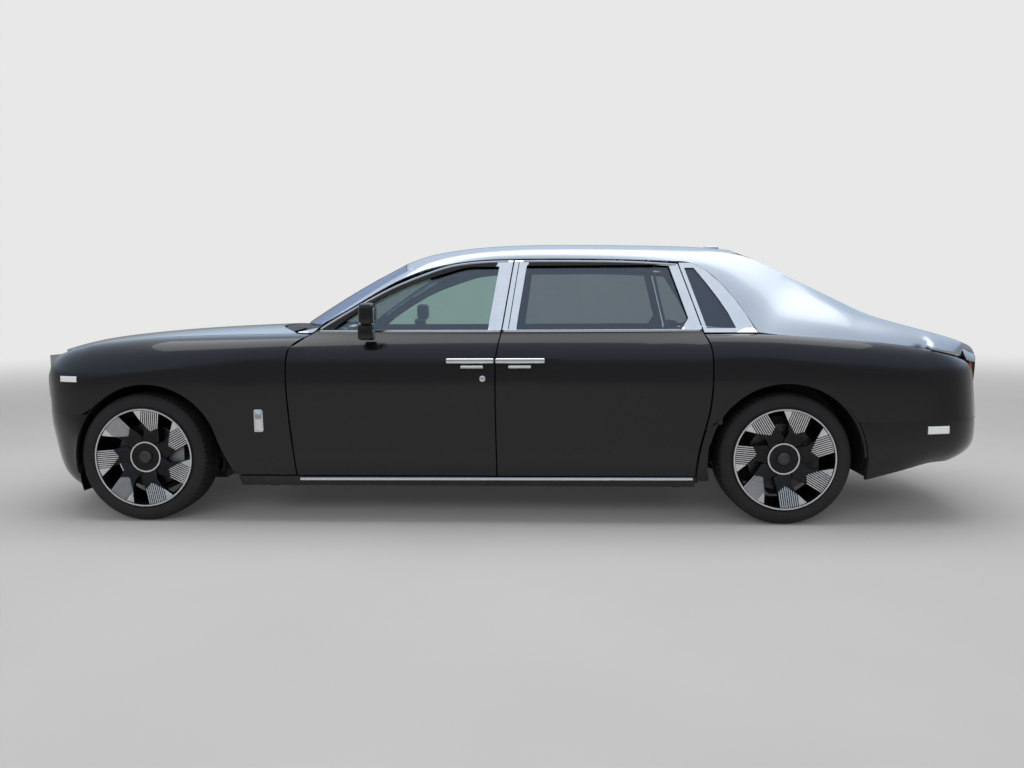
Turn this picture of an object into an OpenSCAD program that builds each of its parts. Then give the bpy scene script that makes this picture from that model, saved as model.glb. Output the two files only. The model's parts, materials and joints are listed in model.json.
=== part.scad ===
// Long four-door luxury sedan with rear-hinged rear doors.
// X runs rearward, Y to the car's right, Z up. The origin is at mid length on the ground.
// Sizes are in mm.

/* [Overall] */
// Length over the bumpers
car_length = 5982; // [5600:1:6300]
// Width over the side panels, without mirrors
car_width = 2018; // [1900:1:2100]
// Height of the roof over the ground
car_height = 1680; // [1580:1:1750]
// Distance between the axles
wheelbase = 3772; // [3500:1:3950]
// Nose to front axle
front_overhang = 880; // [820:1:960]

/* [Wheels] */
// Outer radius of the tyre
tyre_r = 385; // [360:1:400]
// Width of a front tyre
front_tyre_w = 255; // [225:5:285]
// Width of a rear tyre
rear_tyre_w = 285; // [245:5:315]
// Radius of the rim's edge
rim_r = 298; // [270:1:310]
// Outer face of the tyres, from the middle of the car
tyre_face_y = 962; // [930:1:980]
// Spokes of a wheel
spokes = 7; // [5:1:9]
// How deep the hub sits inside the rim's face
dish = 32; // [15:1:60]
// Radius of the plain hub cap
cap_r = 88; // [70:1:100]
// Radius of a brake disc
disc_r = 196; // [170:1:215]

/* [Wheel arches] */
// Free height between the tyre and the front arch edge
front_arch_gap = 60; // [50:1:70]
// Free height between the tyre and the rear arch edge
rear_arch_gap = 68; // [50:1:75]
// How far the front arch sits behind the axle
front_arch_shift = 43; // [20:1:60]

/* [Panels] */
// Gap between two panels that meet
shut_gap = 8; // [7:0.5:10]
// Thickness of a door from its skin to its lining
door_t = 135; // [100:1:150]
// Thickness of a window frame
frame_t = 42; // [30:1:55]
// Thickness of a wing or quarter panel with its inner skin
wing_t = 34; // [20:1:45]
// Thickness of the silver body side
side_t = 28; // [15:1:40]
// Thickness of the roof with its lining
roof_t = 40; // [25:1:60]
// Thickness of the bonnet and the boot lid
lid_t = 34; // [20:1:45]
// Radius of the pins on which the bonnet and the boot lid turn
pin_r = 8; // [6:1:10]
// Thickness of a pane
glass_t = 6; // [4:0.5:8]
// Gap between a pane and the frame around it
glass_gap = 0.5; // [0.3:0.1:2]

/* [Grille] */
// Half width of the grille opening
grille_half_w = 350; // [300:1:400]
// Bars on each half of the grille
grille_bars = 11; // [7:1:14]
// Width of one grille bar
bar_w = 9; // [6:0.5:12]

/* [Interior] */
// Width of one front seat
seat_w = 560; // [500:1:600]
// Height of the front seat cushion over the ground
seat_z = 640; // [600:1:680]
// Radius of the steering wheel
wheel_rim_r = 190; // [175:1:200]

/* [Hidden] */

nose_x = -car_length / 2;
tail_x = car_length / 2;
front_x = nose_x + front_overhang;
rear_x = front_x + wheelbase;
front_arch_r = tyre_r + front_arch_gap;
rear_arch_r = tyre_r + rear_arch_gap;
half_gap = shut_gap / 2;
front_tyre_y = tyre_face_y - front_tyre_w / 2;
rear_tyre_y = tyre_face_y - rear_tyre_w / 2;
// Clearance left between two pieces that only touch in the real car
touch = 0.3;
// Nominal places of nose, axles and tail; panels are drawn on them and then moved with the sizes
x_map = [[-2991, nose_x], [-2111, front_x], [1661, rear_x], [2991, tail_x]];
z_map = [[0, 0], [385, tyre_r], [1680, car_height], [1900, car_height + 220]];

// Places and boxes given in nominal coordinates
function px(x) = lookup(x, x_map);
function py(y) = y * car_width / 2018;
function pz(z) = lookup(z, z_map);
bonnet_pin_z = pz(1112);
boot_pin_z = pz(1170);
module block(x, y, z) {
  translate([px(x[0]), py(y[0]), pz(z[0])])
    cube([px(x[1]) - px(x[0]), py(y[1]) - py(y[0]), pz(z[1]) - pz(z[0])]);
}
// Smooth curve through a list of [x, value]
function seg(t, x, i = 0) = (i >= len(t) - 2 || x < t[i + 1][0]) ? i : seg(t, x, i + 1);
function slope(t, i) =
  let (a = max(i - 1, 0), b = min(i + 1, len(t) - 1))
  (t[b][1] - t[a][1]) / (t[b][0] - t[a][0]);
function curve(t, x) =
  let (n = len(t) - 1)
  x <= t[0][0] ? t[0][1] + slope(t, 0) * (x - t[0][0]) :
  x >= t[n][0] ? t[n][1] + slope(t, n) * (x - t[n][0]) :
  let (
    i = seg(t, x),
    h = t[i + 1][0] - t[i][0],
    u = (x - t[i][0]) / h
  )
  (2 * u * u * u - 3 * u * u + 1) * t[i][1] + (u * u * u - 2 * u * u + u) * h * slope(t, i)
  + (3 * u * u - 2 * u * u * u) * t[i + 1][1] + (u * u * u - u * u) * h * slope(t, i + 1);
function mix(a, b, t) = a + (b - a) * t;
function unit(v) = v / norm(v);
// Point on the left side of the car from nominal x, half width and height
function left(x, y, z) = [lookup(x, x_map), -y * car_width / 2018, lookup(z, z_map)];
// Smooth curve through a list of points, p from 0 to 1
function along(pts, p) =
  let (n = len(pts) - 1)
  [for (c = [0:2]) curve([for (i = [0:n]) [i / n, pts[i][c]]], p)];

// Side section: inset from the widest line at each height
section = [[200, 96], [240, 72], [285, 30], [330, 14], [400, 5], [430, 3], [520, 7], [650, 5],
  [780, 1], [860, 0], [940, 2], [1000, 8], [1040, 20], [1070, 42], [1095, 70], [1115, 88],
  [1139, 98], [1250, 150], [1350, 202], [1450, 255], [1545, 309], [1600, 340]];
// Height of the drip line over a door's top edge
drip_gap = 12;
// Half width of the widest line along the car
plan = [[-2560, 938], [-2450, 968], [-2300, 986], [-2100, 999], [-1800, 1006], [-1400, 1006],
  [-1000, 1004], [0, 1005], [1000, 1006], [1300, 1008], [1661, 1009], [1900, 1004],
  [2200, 984], [2400, 962], [2600, 920], [2720, 868]];
// How much the greenhouse narrows ahead of and behind the doors
taper = [[-1250, 60], [-1000, 34], [-600, 8], [0, 0], [900, 4], [1300, 22], [1600, 50]];
function skin(x, z) = curve(plan, x) - curve(section, z)
  - curve(taper, x) * max(0, min(1, (z - 1050) / 100));

// Panel from a grid of outer points and a grid of inner points; cells listed in holes stay open.
// Columns run front to rear and rows run up on the left side, or left to right on top.
module panel(p, q, holes = []) {
  rows = len(p);
  cols = len(p[0]);
  n = rows * cols;
  function at(i, j) = i * cols + j;
  function open(i, j) = i < 0 || j < 0 || i >= rows - 1 || j >= cols - 1
    || len([for (h = holes) if (i >= h[0] && i < h[1] && j >= h[2] && j < h[3]) 1]) > 0;
  used = [for (i = [0:rows - 1]) for (j = [0:cols - 1])
    !(open(i, j) && open(i - 1, j) && open(i, j - 1) && open(i - 1, j - 1))];
  // Points inside a hole are left out
  keep = [for (k = [0:n - 1]) if (used[k]) k];
  m = len(keep);
  order = [for (k = 0, c = 0; k < n; c = c + (used[k] ? 1 : 0), k = k + 1) c];
  flat_p = [for (r = p) each r];
  flat_q = [for (r = q) each r];
  pts = [for (k = keep) flat_p[k], for (k = keep) flat_q[k]];
  cells = [for (i = [0:rows - 2]) for (j = [0:cols - 2]) if (!open(i, j)) [i, j]];
  function wall(a, b) = [[a, b, b + m], [a, b + m, a + m]];
  faces = [for (c = cells)
    let (
      a = order[at(c[0], c[1])], b = order[at(c[0], c[1] + 1)],
      d = order[at(c[0] + 1, c[1] + 1)], e = order[at(c[0] + 1, c[1])]
    )
    each [[a, e, d], [a, d, b], [a + m, d + m, e + m], [a + m, b + m, d + m],
      if (open(c[0] - 1, c[1])) each wall(a, b),
      if (open(c[0], c[1] + 1)) each wall(b, d),
      if (open(c[0] + 1, c[1])) each wall(d, e),
      if (open(c[0], c[1] - 1)) each wall(e, a)]];
  polyhedron(points = pts, faces = faces, convexity = 8);
}
// Outward direction of a grid at one point
function grid_n(p, i, j) =
  let (
    r = len(p) - 1, c = len(p[0]) - 1,
    u = p[i][min(j + 1, c)] - p[i][max(j - 1, 0)],
    v = p[min(i + 1, r)][j] - p[max(i - 1, 0)][j]
  )
  unit(cross(u, v));
function inner(p, t) = [for (i = [0:len(p) - 1]) [for (j = [0:len(p[0]) - 1])
  p[i][j] - t * grid_n(p, i, j)]];
// The same with the inward direction kept level, for an edge that meets another panel
function level_n(p, i, j) = let (n = grid_n(p, i, j)) unit([n[0], n[1], 0]);
// Part of a grid, drawn in from its edges by a gap
function inset(p, r0, r1, c0, c1, g) =
  let (
    a = [for (i = [r0:r1]) [for (j = [c0:c1])
      i == r0 ? p[i][j] + g * unit(p[i + 1][j] - p[i][j])
      : i == r1 ? p[i][j] + g * unit(p[i - 1][j] - p[i][j]) : p[i][j]]],
    n = c1 - c0
  )
  [for (r = a) [for (j = [0:n])
    j == 0 ? r[j] + g * unit(r[1] - r[0]) : j == n ? r[j] + g * unit(r[n - 1] - r[n]) : r[j]]];
// Panel of even thickness
module sheet(p, t, holes = []) {
  panel(p, inner(p, t), holes);
}
// Beam along a list of sections, each a list of points in the same turn
function turn(s) = cross(s[0][1] - s[0][0], s[0][2] - s[0][1]) * (s[1][0] - s[0][0]);
module loft(s) {
  k = len(s[0]);
  n = len(s);
  pts = [for (c = s) each c];
  sides = [for (i = [0:n - 2]) for (j = [0:k - 1])
    let (a = i * k + j, b = i * k + (j + 1) % k)
    each [[a, b, b + k], [a, b + k, a + k]]];
  ends = [[for (j = [k - 1:-1:0]) j], [for (j = [0:k - 1]) (n - 1) * k + j]];
  tri = [for (e = ends) for (j = [1:k - 2]) [e[0], e[j], e[j + 1]]];
  all = concat(sides, tri);
  polyhedron(points = pts, convexity = 4,
    faces = turn(s) > 0 ? [for (f = all) [f[2], f[1], f[0]]] : all);
}
// Evenly spread numbers
function steps(a, b, n) = [for (i = [0:n]) a + (b - a) * i / n];
module right_too() {
  children();
  mirror([0, 1, 0]) children();
}

// Shut line at the front edge of the front door, x at each height
front_shut = [[240, -1176], [418, -1191], [610, -1213], [790, -1226], [923, -1228], [1000, -1222],
  [1040, -1208], [1078, -1168], [1117, -1092]];
// Split between the doors
mid_shut = [[240, 2], [960, -5], [1139, 29], [1550, 94]];
// Shut line at the rear edge of the rear door
rear_shut = [[240, 1148], [364, 1151], [494, 1174], [623, 1216], [814, 1238], [960, 1236],
  [1040, 1228], [1117, 1194], [1139, 1190]];
// Line of the roof drip over the doors: height at each x
drip = [[-1035, 1180], [-876, 1266], [-717, 1366], [-560, 1450], [-404, 1508], [-248, 1540],
  [-94, 1556], [94, 1560], [495, 1558], [859, 1548], [1068, 1532]];
// The same line at the windscreen pillar: x at each height
pillar = [[1117, -1092], [1139, -1080], [1180, -1035], [1266, -876], [1366, -717], [1450, -560],
  [1500, -430], [1532, -300], [1550, -170]];

// Doors
door_rows = [290, 360, 425, 520, 650, 790, 900, 985, 1040, 1080, 1117, 1139];
win_low = 1139;
belt_row = len(door_rows) - 1;
// Cells of a door along X at one row of its window, front to rear
function front_row(z) =
  let (a = curve(pillar, z + 13) + half_gap, b = curve(mid_shut, z) - half_gap,
    wa = curve(pillar, min(z + 44, 1545)) + 14, wb = b - 78)
  [a, wa, mix(wa, wb, 0.2), mix(wa, wb, 0.4), mix(wa, wb, 0.6), mix(wa, wb, 0.8),
    mix(wa, wb, 0.92), wb, b];
function rear_row(z) =
  let (a = curve(mid_shut, z) + half_gap, b = mix(1190, 1072, (z - 1139) / 386) - half_gap,
    wa = a + 78, wb = b - 56)
  [a, wa, mix(wa, wb, 0.2), mix(wa, wb, 0.4), mix(wa, wb, 0.6), mix(wa, wb, 0.8),
    mix(wa, wb, 0.92), wb, b];
function front_low(z) =
  let (a = curve(front_shut, min(z, 1117)) + half_gap + 1 + (z > 1117 ? 28 : z > 1100 ? 6 : 0),
    b = curve(mid_shut, z) - half_gap)
  [for (u = [0, 0.08, 0.2, 0.35, 0.5, 0.65, 0.8, 0.93, 1]) mix(a, b, u)];
function rear_low(z) =
  let (a = curve(mid_shut, z) + half_gap, b = curve(rear_shut, z) - half_gap)
  [for (u = [0, 0.07, 0.2, 0.35, 0.5, 0.65, 0.8, 0.9, 1]) mix(a, b, u)];
front_top_z = 1512;
rear_top_z = 1516;
module door(front) {
  top_z = front ? front_top_z : rear_top_z;
  low = [for (z = door_rows) [for (x = front ? front_low(z) : rear_low(z)) left(x, skin(x, z), z)]];
  high = [for (z = [1200, 1300, 1400, top_z])
    [for (x = front ? front_row(z) : rear_row(z)) left(x, skin(x, z), z)]];
  a = front ? -262 : 95 + half_gap;
  b = front ? 94 - half_gap : 1066;
  top = [for (u = front ? [0, 0.1, 0.24, 0.4, 0.6, 0.75, 0.86, 0.93, 1]
    : [0, 0.08, 0.2, 0.35, 0.5, 0.65, 0.8, 0.94, 1])
    let (x = mix(a, b, u), z = curve(drip, x) - drip_gap)
    left(x, skin(x, z), z)];
  p = concat(low, high, [top]);
  n = len(p);
  q = [for (i = [0:n - 1]) [for (j = [0:8])
    let (t = i < 8 ? door_t : i < belt_row ? [door_t - 12, door_t - 38, door_t - 60][i - 8]
      : i == belt_row ? 70 : frame_t,
      e = j == 0 ? (front && i > 8 && i <= belt_row ? 44 : 14) : j == 8 ? -14 : 0)
    p[i][j] + [i > belt_row ? e / 4 : e, t, i == n - 1 ? -4 : 0]]];
  panel(p, q, [[belt_row, n - 2, 1, 7]]);
}
// Window panes lie in the middle of the frame, their edges a small gap inside it
module door_window(front) {
  g = glass_gap;
  top_z = front ? front_top_z : rear_top_z;
  p = [for (z = [win_low, 1200, 1300, 1400, top_z])
    let (r = z > win_low ? (front ? front_row(z) : rear_row(z))
      : front ? front_low(z) : rear_low(z))
    [for (j = [1:7])
      let (x = r[j] + (j == 1 ? (z == win_low ? 4 * g : g) : j == 7 ? -g : 0),
        zz = z == win_low ? z + g : z == top_z ? z - g : z)
      left(x, skin(x, z), zz) + [0, frame_t / 2 - glass_t / 2, 0]]];
  panel(p, [for (r = p) [for (v = r) v + [0, glass_t, 0]]]);
}
// Height of the door's flat facets at one place
function door_y(x, z) = lookup(z, [for (r = door_rows) [r, skin(x, r)]]);
// Grip bar on two feet, which stand on the door's skin
module door_handle(x0, x1, xf, z0, z1, out) {
  zm = (z0 + z1) / 2;
  y = door_y((x0 + x1) / 2, zm);
  block([x0, x1], [-y - out, -y - out + 14], [z0, z1]);
  for (x = xf) block([x - 13, x + 13], [-y - out + 13, -y - touch], [zm - 7, zm + 7]);
}
module front_handle() {
  color("silver") {
    door_handle(-282, -8.5, [-250, -40], 953, 978, 34);
    door_handle(-202, -71, [-150, -110], 922, 936, 20);
  }
}
module rear_handle() {
  color("silver") {
    door_handle(-1.5, 281, [40, 250], 953, 978, 34);
    door_handle(71, 202, [110, 150], 922, 936, 20);
  }
}

// Front wings
// Outline from the grille round the corner, and the edge of the bonnet at the same places
nose_out = [[-2896, 380], [-2884, 470], [-2862, 560], [-2832, 650], [-2783, 755], [-2716, 846],
  [-2640, 900], [-2556, 938]];
nose_edge = [[-2858, 380, 968], [-2842, 462, 970], [-2816, 540, 974], [-2776, 612, 982],
  [-2720, 678, 994], [-2650, 728, 1012], [-2580, 758, 1034], [-2532, 769, 1044]];
edge_z = [[-2500, 1052], [-2445, 1064], [-2134, 1092], [-1732, 1106], [-1262, 1114], [-1092, 1117]];
edge_y = [[-2500, 778], [-2300, 792], [-2000, 802], [-1600, 812], [-1200, 826], [-1092, 836]];
front_arch_x = -2111 + front_arch_shift;
function front_cut(x) =
  let (r = front_arch_r, d = x - front_arch_x)
  abs(d) < r ? 385 + sqrt(r * r - d * d) : 0;
wing_side_x = [-2500, -2470, -2390, -2290, -2180, -2068, -1960, -1850, -1745, -1670, -1630, -1548,
  -1440, -1330];
n_nose = len(nose_out);
wing_cols = n_nose + len(wing_side_x) + 1;
function wing_low(x) = x < -2430 ? 644 : x < -1635 ? front_cut(x) : max(292, 451 - (x + 1630) * 1.94);
// Columns: stations round the nose, then along the side to the shut line of the front door
wing_cols_p = [for (j = [0:wing_cols - 1])
  let (
    last = j == wing_cols - 1,
    nose = j < n_nose,
    x = last ? 0 : nose ? nose_out[j][0] : wing_side_x[j - n_nose],
    lz = last ? 292 : nose ? 644 : wing_low(x),
    top = nose ? nose_edge[j] : last ? [-1096, curve(edge_y, -1096), 1116]
      : [x, curve(edge_y, x), curve(edge_z, x)],
    z0 = nose ? 870 : last ? 985 : mix(870, 985, max(0, min(1, (x + 2500) / 1100)))
  )
  concat(
    [for (k = [0:4])
      let (z = mix(lz, z0, k / 5), xs = last ? curve(front_shut, z) - half_gap : x)
      nose ? left(x, nose_out[j][1] - (z < 700 ? 1 : 0), z) : left(xs, skin(xs, z), z)],
    [for (a = [0, 22, 44, 62, 76, 88])
      let (
        h = (1 - cos(a)) / (1 - cos(88)), v = sin(a) / sin(88),
        z = mix(z0, top[2], v),
        ox = nose ? x : last ? curve(front_shut, min(z, 1117)) - half_gap : x,
        oy = nose ? nose_out[j][1] : curve(plan, ox) - 3,
        xt = last ? min(ox, -1096 - half_gap + 4) : mix(ox, top[0], h)
      )
      left(xt, mix(oy, top[1], h), z)])];
wing_p = [for (i = [0:10]) [for (j = [0:wing_cols - 1]) wing_cols_p[j][i]]];
// Under the tongue over the front door the inner face runs forward, clear of the door
tongue = [[0, 34, 0], [-4, 32, -4], [-12, 26, -10], [-24, 18, -13], [-36, 10, -14], [-44, 4, -14]];
wing_q = [for (i = [0:10]) [for (j = [0:wing_cols - 1])
  j == wing_cols - 1 ? wing_p[i][j] + tongue[max(0, i - 5)] * wing_t / 34
  : i == 10 ? mix(wing_p[10][j], wing_p[9][j], 0.4) - [0, 0, wing_t * 0.85]
  : wing_p[i][j] - wing_t * (i == 0 ? level_n(wing_p, i, j) : grid_n(wing_p, i, j))]];
lamp_cells = [2, 5, 1, 4];
module wing() {
  panel(wing_p, wing_q, [lamp_cells]);
}

// Quarters
tail_out = [[2560, 930], [2660, 896], [2740, 838], [2800, 768], [2840, 700], [2872, 640]];
silver = [[1194, 1112], [1533, 1108], [1850, 1088], [2228, 1055], [2480, 1022], [2690, 980],
  [2780, 962], [2850, 950]];
function rear_cut(x) =
  let (r = rear_arch_r, d = x - 1665)
  abs(d) < r ? 385 + sqrt(r * r - d * d) : 0;
module quarter() {
  side_x = concat([1252, 1300, 1390, 1500], quarter_x);
  n1 = len(side_x);
  cols = 1 + n1 + n_tail;
  cols_p = [for (j = [0:cols - 1])
    let (
      first = j == 0,
      tail = j > n1,
      k = j - n1 - 1,
      x = first ? 1240 : tail ? tail_out[k][0] : side_x[j - 1],
      lz = first ? 560 : x < 2090 ? max(604, rear_cut(x)) : 604,
      z0 = mix(980, 880, max(0, min(1, (x - 1500) / 1200))),
      tz = curve(silver, x) - 2
    )
    concat(
      [for (i = [0:4])
        let (z = mix(lz, z0, i / 5), xs = first ? curve(rear_shut, z) + half_gap : x)
        tail ? left(xs - tail_back(z), tail_out[k][1], z)
          : left(xs, skin(xs, z), z)],
      [for (a = [0, 26, 50, 68, 82])
        let (
          h = (1 - cos(a)) / (1 - cos(82)), v = sin(a) / sin(82),
          z = mix(z0, tz, v),
          xs = first ? curve(rear_shut, min(z, 1117)) + half_gap : x,
          end = j > 4 ? quarter_top(j - 5) : [xs, curve(plan, xs) - 102, tz],
          ox = tail ? xs - tail_back(z) : xs,
          oy = tail ? tail_out[k][1] : curve(plan, xs) - 2
        )
        left(mix(ox, end[0], h), mix(oy, end[1], h), z)])];
  p = [for (i = [0:len(cols_p[0]) - 1]) [for (j = [0:cols - 1]) cols_p[j][i]]];
  // The front edge follows the door's shut line, the rear edge makes room for the lamp
  lip = [[0, 34, 0], [4, 30, -6], [10, 24, -10], [16, 16, -14], [22, 8, -16]];
  panel(p, [for (i = [0:9]) [for (j = [0:cols - 1])
    j == 0 ? p[i][j] + lip[max(0, i - 5)] * wing_t / 34
    : j == cols - 1 ? p[i][j] - [wing_t, 0, i > 7 ? 12 : 0]
    : p[i][j] - wing_t * (i == 0 ? level_n(p, i, j) : grid_n(p, i, j))]]);
}

// Silver body sides, roof and lids
// Lower edge of the silver side: over the doors, down the rear pillar, then along the quarter
side_low = [[-1195, 1121], [-1150, 1121], [-1115, 1122], [-1086, 1124], [-1062, 1152],
  [-1035, 1180], [-955, 1224], [-876, 1266], [-797, 1317],
  [-717, 1366], [-640, 1410], [-560, 1450], [-480, 1482], [-404, 1508], [-248, 1540],
  [-94, 1556], [94, 1560], [300, 1560], [495, 1558], [680, 1554], [859, 1548], [980, 1542],
  [1070, 1538], [1140, 1536], [1215, 1500], [1290, 1437], [1352, 1365], [1402, 1300],
  [1462, 1205], [1508, 1118]];
// Upper edge at the same places: windscreen, roof and rear window
side_top = [[-1195, 806, 1128], [-1150, 800, 1136], [-1115, 796, 1144], [-1080, 792, 1152],
  [-1056, 783, 1172], [-1034, 777, 1188], [-955, 754, 1243],
  [-876, 731, 1297], [-797, 709, 1349], [-717, 687, 1400], [-640, 664, 1446], [-562, 644, 1492],
  [-480, 639, 1532], [-404, 637, 1560], [-248, 635, 1591], [-94, 633, 1608], [94, 632, 1617],
  [300, 632, 1619], [495, 631, 1618], [680, 629, 1616], [859, 625, 1613], [980, 620, 1610],
  [1078, 613, 1608], [1180, 608, 1605], [1290, 604, 1599], [1440, 600, 1585], [1540, 602, 1547],
  [1620, 606, 1508], [1710, 612, 1463], [1790, 618, 1423]];
// Upper edge behind, over each place of the quarter
deck_x = [[1610, 1860], [1720, 1920], [1830, 1980], [1940, 2040], [2030, 2100], [2060, 2140],
  [2110, 2180], [2230, 2262], [2380, 2390], [2480, 2490], [2560, 2570], [2660, 2660],
  [2740, 2716], [2800, 2752], [2840, 2780], [2872, 2800]];
deck_y = [[1790, 618], [2050, 640], [2262, 652], [2520, 650], [2716, 632], [2780, 606], [2812, 588]];
deck_z = [[1790, 1423], [1980, 1326], [2180, 1228], [2262, 1196], [2390, 1160], [2570, 1112],
  [2730, 1066], [2800, 1040], [2836, 1026]];
quarter_x = [1610, 1720, 1830, 1940, 2030, 2060, 2110, 2230, 2380, 2480];
n_tail = len(tail_out);
function tail_back(z) = (z - 600) * 0.10;
function quarter_top(j) =
  let (
    tail = j >= len(quarter_x),
    x = tail ? tail_out[j - len(quarter_x)][0] : quarter_x[j],
    z = curve(silver, x) - 2,
    k = tail ? j - len(quarter_x) : 0,
    nrm = tail ? [0.45 + 0.1 * k, 0.8] : [0, 1],
    h = tail ? 50 : 100,
    y = tail ? tail_out[k][1] : curve(plan, x) - 2
  )
  [x - (tail ? tail_back(z) : 0) - h * nrm[0], y - h * nrm[1], z];
tip_y = [826, 832, 850];
n_side = len(side_low);
n_deck = len(quarter_x) + n_tail;
side_edge_low = concat(
  [for (j = [0:n_side - 1]) let (k = side_low[j]) [k[0], j < 3 ? tip_y[j] : skin(k[0], k[1]), k[1]]],
  [for (j = [0:n_deck - 1]) quarter_top(j) + [0, 0, touch]]);
side_edge_top = concat(side_top, [for (j = [0:n_deck - 1]) let (x = deck_x[j][1])
  [x, curve(deck_y, x), curve(deck_z, x)]]);
side_p = [for (t = steps(0, 1, 4)) [for (j = [0:n_side + n_deck - 1])
  let (
    m = mix(side_edge_low[j], side_edge_top[j], t),
    b = 4 * t * (1 - t) * (j < 12 ? 4 : j < 23 ? 9 : mix(9, 40, min(1, (j - 23) / 10)))
  )
  left(m[0], m[1] + b * 0.7, m[2] + b * 0.8)]];
// One section of the rail behind the silver side: top outside, top inside, bottom inside, outside
function rail(j) =
  let (
    low = side_edge_low[j],
    top = side_edge_top[j],
    screen = j < 13,
    zd = low[2] - drip_gap - 2,
    deep = screen ? 75 : 100
  )
  [side_p[2][j] - 14 * grid_n(side_p, 2, j), side_p[4][j] + [0, -4, -14],
    left(top[0], top[1] - (screen ? 20 : 28), top[2] - deep),
    left(low[0], skin(low[0], max(1152, zd)) - frame_t - (j < 7 ? 18 : 7), max(low[2] - 40, 1158))];
function box4(x, y0, y1, z0, z1) = [left(x, y1, z1), left(x, y0, z1), left(x, y0, z0),
  left(x, y1, z0)];
module body_side() {
  q = [for (i = [0:4]) [for (j = [0:n_side + n_deck - 1])
    let (t = j < 3 ? 20 : j < 6 ? 8 : j < 13 ? 20 : side_t)
    i == 0 ? side_p[i][j] + [0, t, 2] : i == 4 ? side_p[i][j] + [0, -6, -t]
    : side_p[i][j] - t * grid_n(side_p, i, j)]];
  panel(side_p, q);
  loft(concat([box4(-1244.7, 762, 812, 930, 990), box4(-1170, 766, 812, 985, 1035),
    box4(-1100, 766, 794, 1062, 1128)], [for (j = [6:22]) rail(j)]));
}
roof_line = [[-700, 1538], [-634, 1567], [-465, 1622], [-296, 1649], [-129, 1667], [179, 1680],
  [512, 1679], [907, 1671], [1252, 1659], [1440, 1640]];
roof_cols = [for (k = side_top) if (k[0] > -570 && k[0] < 1450) k];
roof_rows = [-1, -0.9, -0.68, -0.36, 0, 0.36, 0.68, 0.9, 1];
function fore(x) = x < -300 ? 75 * pow((-300 - x) / 262, 1.3) : 0;
function roof_p(k, u, in = 0) =
  let (x = k[0] - fore(k[0]) * (1 - u * u), c = curve(roof_line, x),
    e = curve(roof_line, k[0]) - k[2])
  left(x, -u * (k[1] - in), c - e * pow(abs(u), 2.4));
module roof() {
  p = [for (u = roof_rows) [for (k = roof_cols) roof_p(k, u, touch)]];
  panel(p, [for (i = [0:8]) [for (v = p[i]) v - [0, 0, i == 0 || i == 8 ? 22 : roof_t]]]);
}
bonnet_line = [[-2885, 1004], [-2860, 1022], [-2699, 1074], [-2419, 1108], [-2101, 1136],
  [-1706, 1157], [-1452, 1166], [-1180, 1172]];
us = [0, 0.25, 0.5, 0.7, 0.85, 0.95, 1];
all_u = concat([for (i = [6:-1:1]) -us[i]], us);
xs_front = [[0, -2880], [0.4, -2872], [0.6, -2845], [0.8, -2790], [0.9, -2735], [1, -2640]];
xs_back = [[0, -1452], [0.3, -1446], [0.55, -1404], [0.8, -1300], [0.93, -1235], [1, -1208]];
half_y = [[-2890, 640], [-2790, 672], [-2700, 700], [-2640, 721], [-2500, 767], [-2300, 783],
  [-2000, 793], [-1600, 803], [-1200, 817], [-1120, 820]];
function bonnet_z(x, u) =
  let (e = curve(concat([[-2880, 974], [-2790, 985], [-2640, 1022]], edge_z), x) + 2)
  mix(curve(bonnet_line, x), e, pow(abs(u), 2.2));
module bonnet() {
  p = [for (u = all_u) [for (v = [0, 0.03, 0.09, 0.2, 0.35, 0.5, 0.65, 0.8, 0.92, 1])
    let (x = mix(curve(xs_front, abs(u)), curve(xs_back, abs(u)), v))
    left(x, -u * curve(half_y, x), bonnet_z(x, u))]];
  panel(p, [for (r = p) [for (v = r) v - [0, 0, lid_t]]]);
}
lid_front = 2262;
boot_line = [[2250, 1234], [2471, 1160], [2685, 1107], [2870, 1060], [2940, 1036], [2975, 1000]];
module boot_lid() {
  // Top face, then the rounded edge and the rear face
  top_x = [lid_front, 2380, 2520, 2660, 2790, 2870];
  back = [[2940, 1034, 0.98], [2972, 998, 0.965], [2984, 930, 0.955], [2976, 820, 0.95],
    [2970, 720, 0.95], [2966, 612, 0.95]];
  p = [for (u = [-1, -0.92, -0.7, -0.35, 0, 0.35, 0.7, 0.92, 1])
    concat(
      [for (x = top_x)
        let (xs = x - (x - lid_front) * 0.07 * u * u,
          y = u * (curve(deck_y, min(xs, 2812)) - 12),
          e = curve(deck_z, min(xs, 2812)) - 1)
        left(xs, -y, mix(curve(boot_line, x), e, pow(abs(u), 2.2)))],
      [for (k = back)
        left(k[0] - 86 * u * u, -u * 592 * k[2], k[1] - 14 * u * u * (k[1] > 900 ? 1 : 0))])];
  q = [for (i = [0:8]) [for (j = [0:len(p[0]) - 1])
    j < 5 ? p[i][j] - [0, 0, lid_t] : p[i][j] - lid_t * grid_n(p, i, j)]];
  panel(p, q);
}

// Bumpers
// Outline from the middle of the nose to the front arch
front_out = [[-2936, 0], [-2932, 150], [-2920, 290], [-2896, 400], [-2862, 560], [-2832, 650],
  [-2783, 755], [-2716, 846], [-2640, 900], [-2556, 938], [-2500, 956]];
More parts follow.
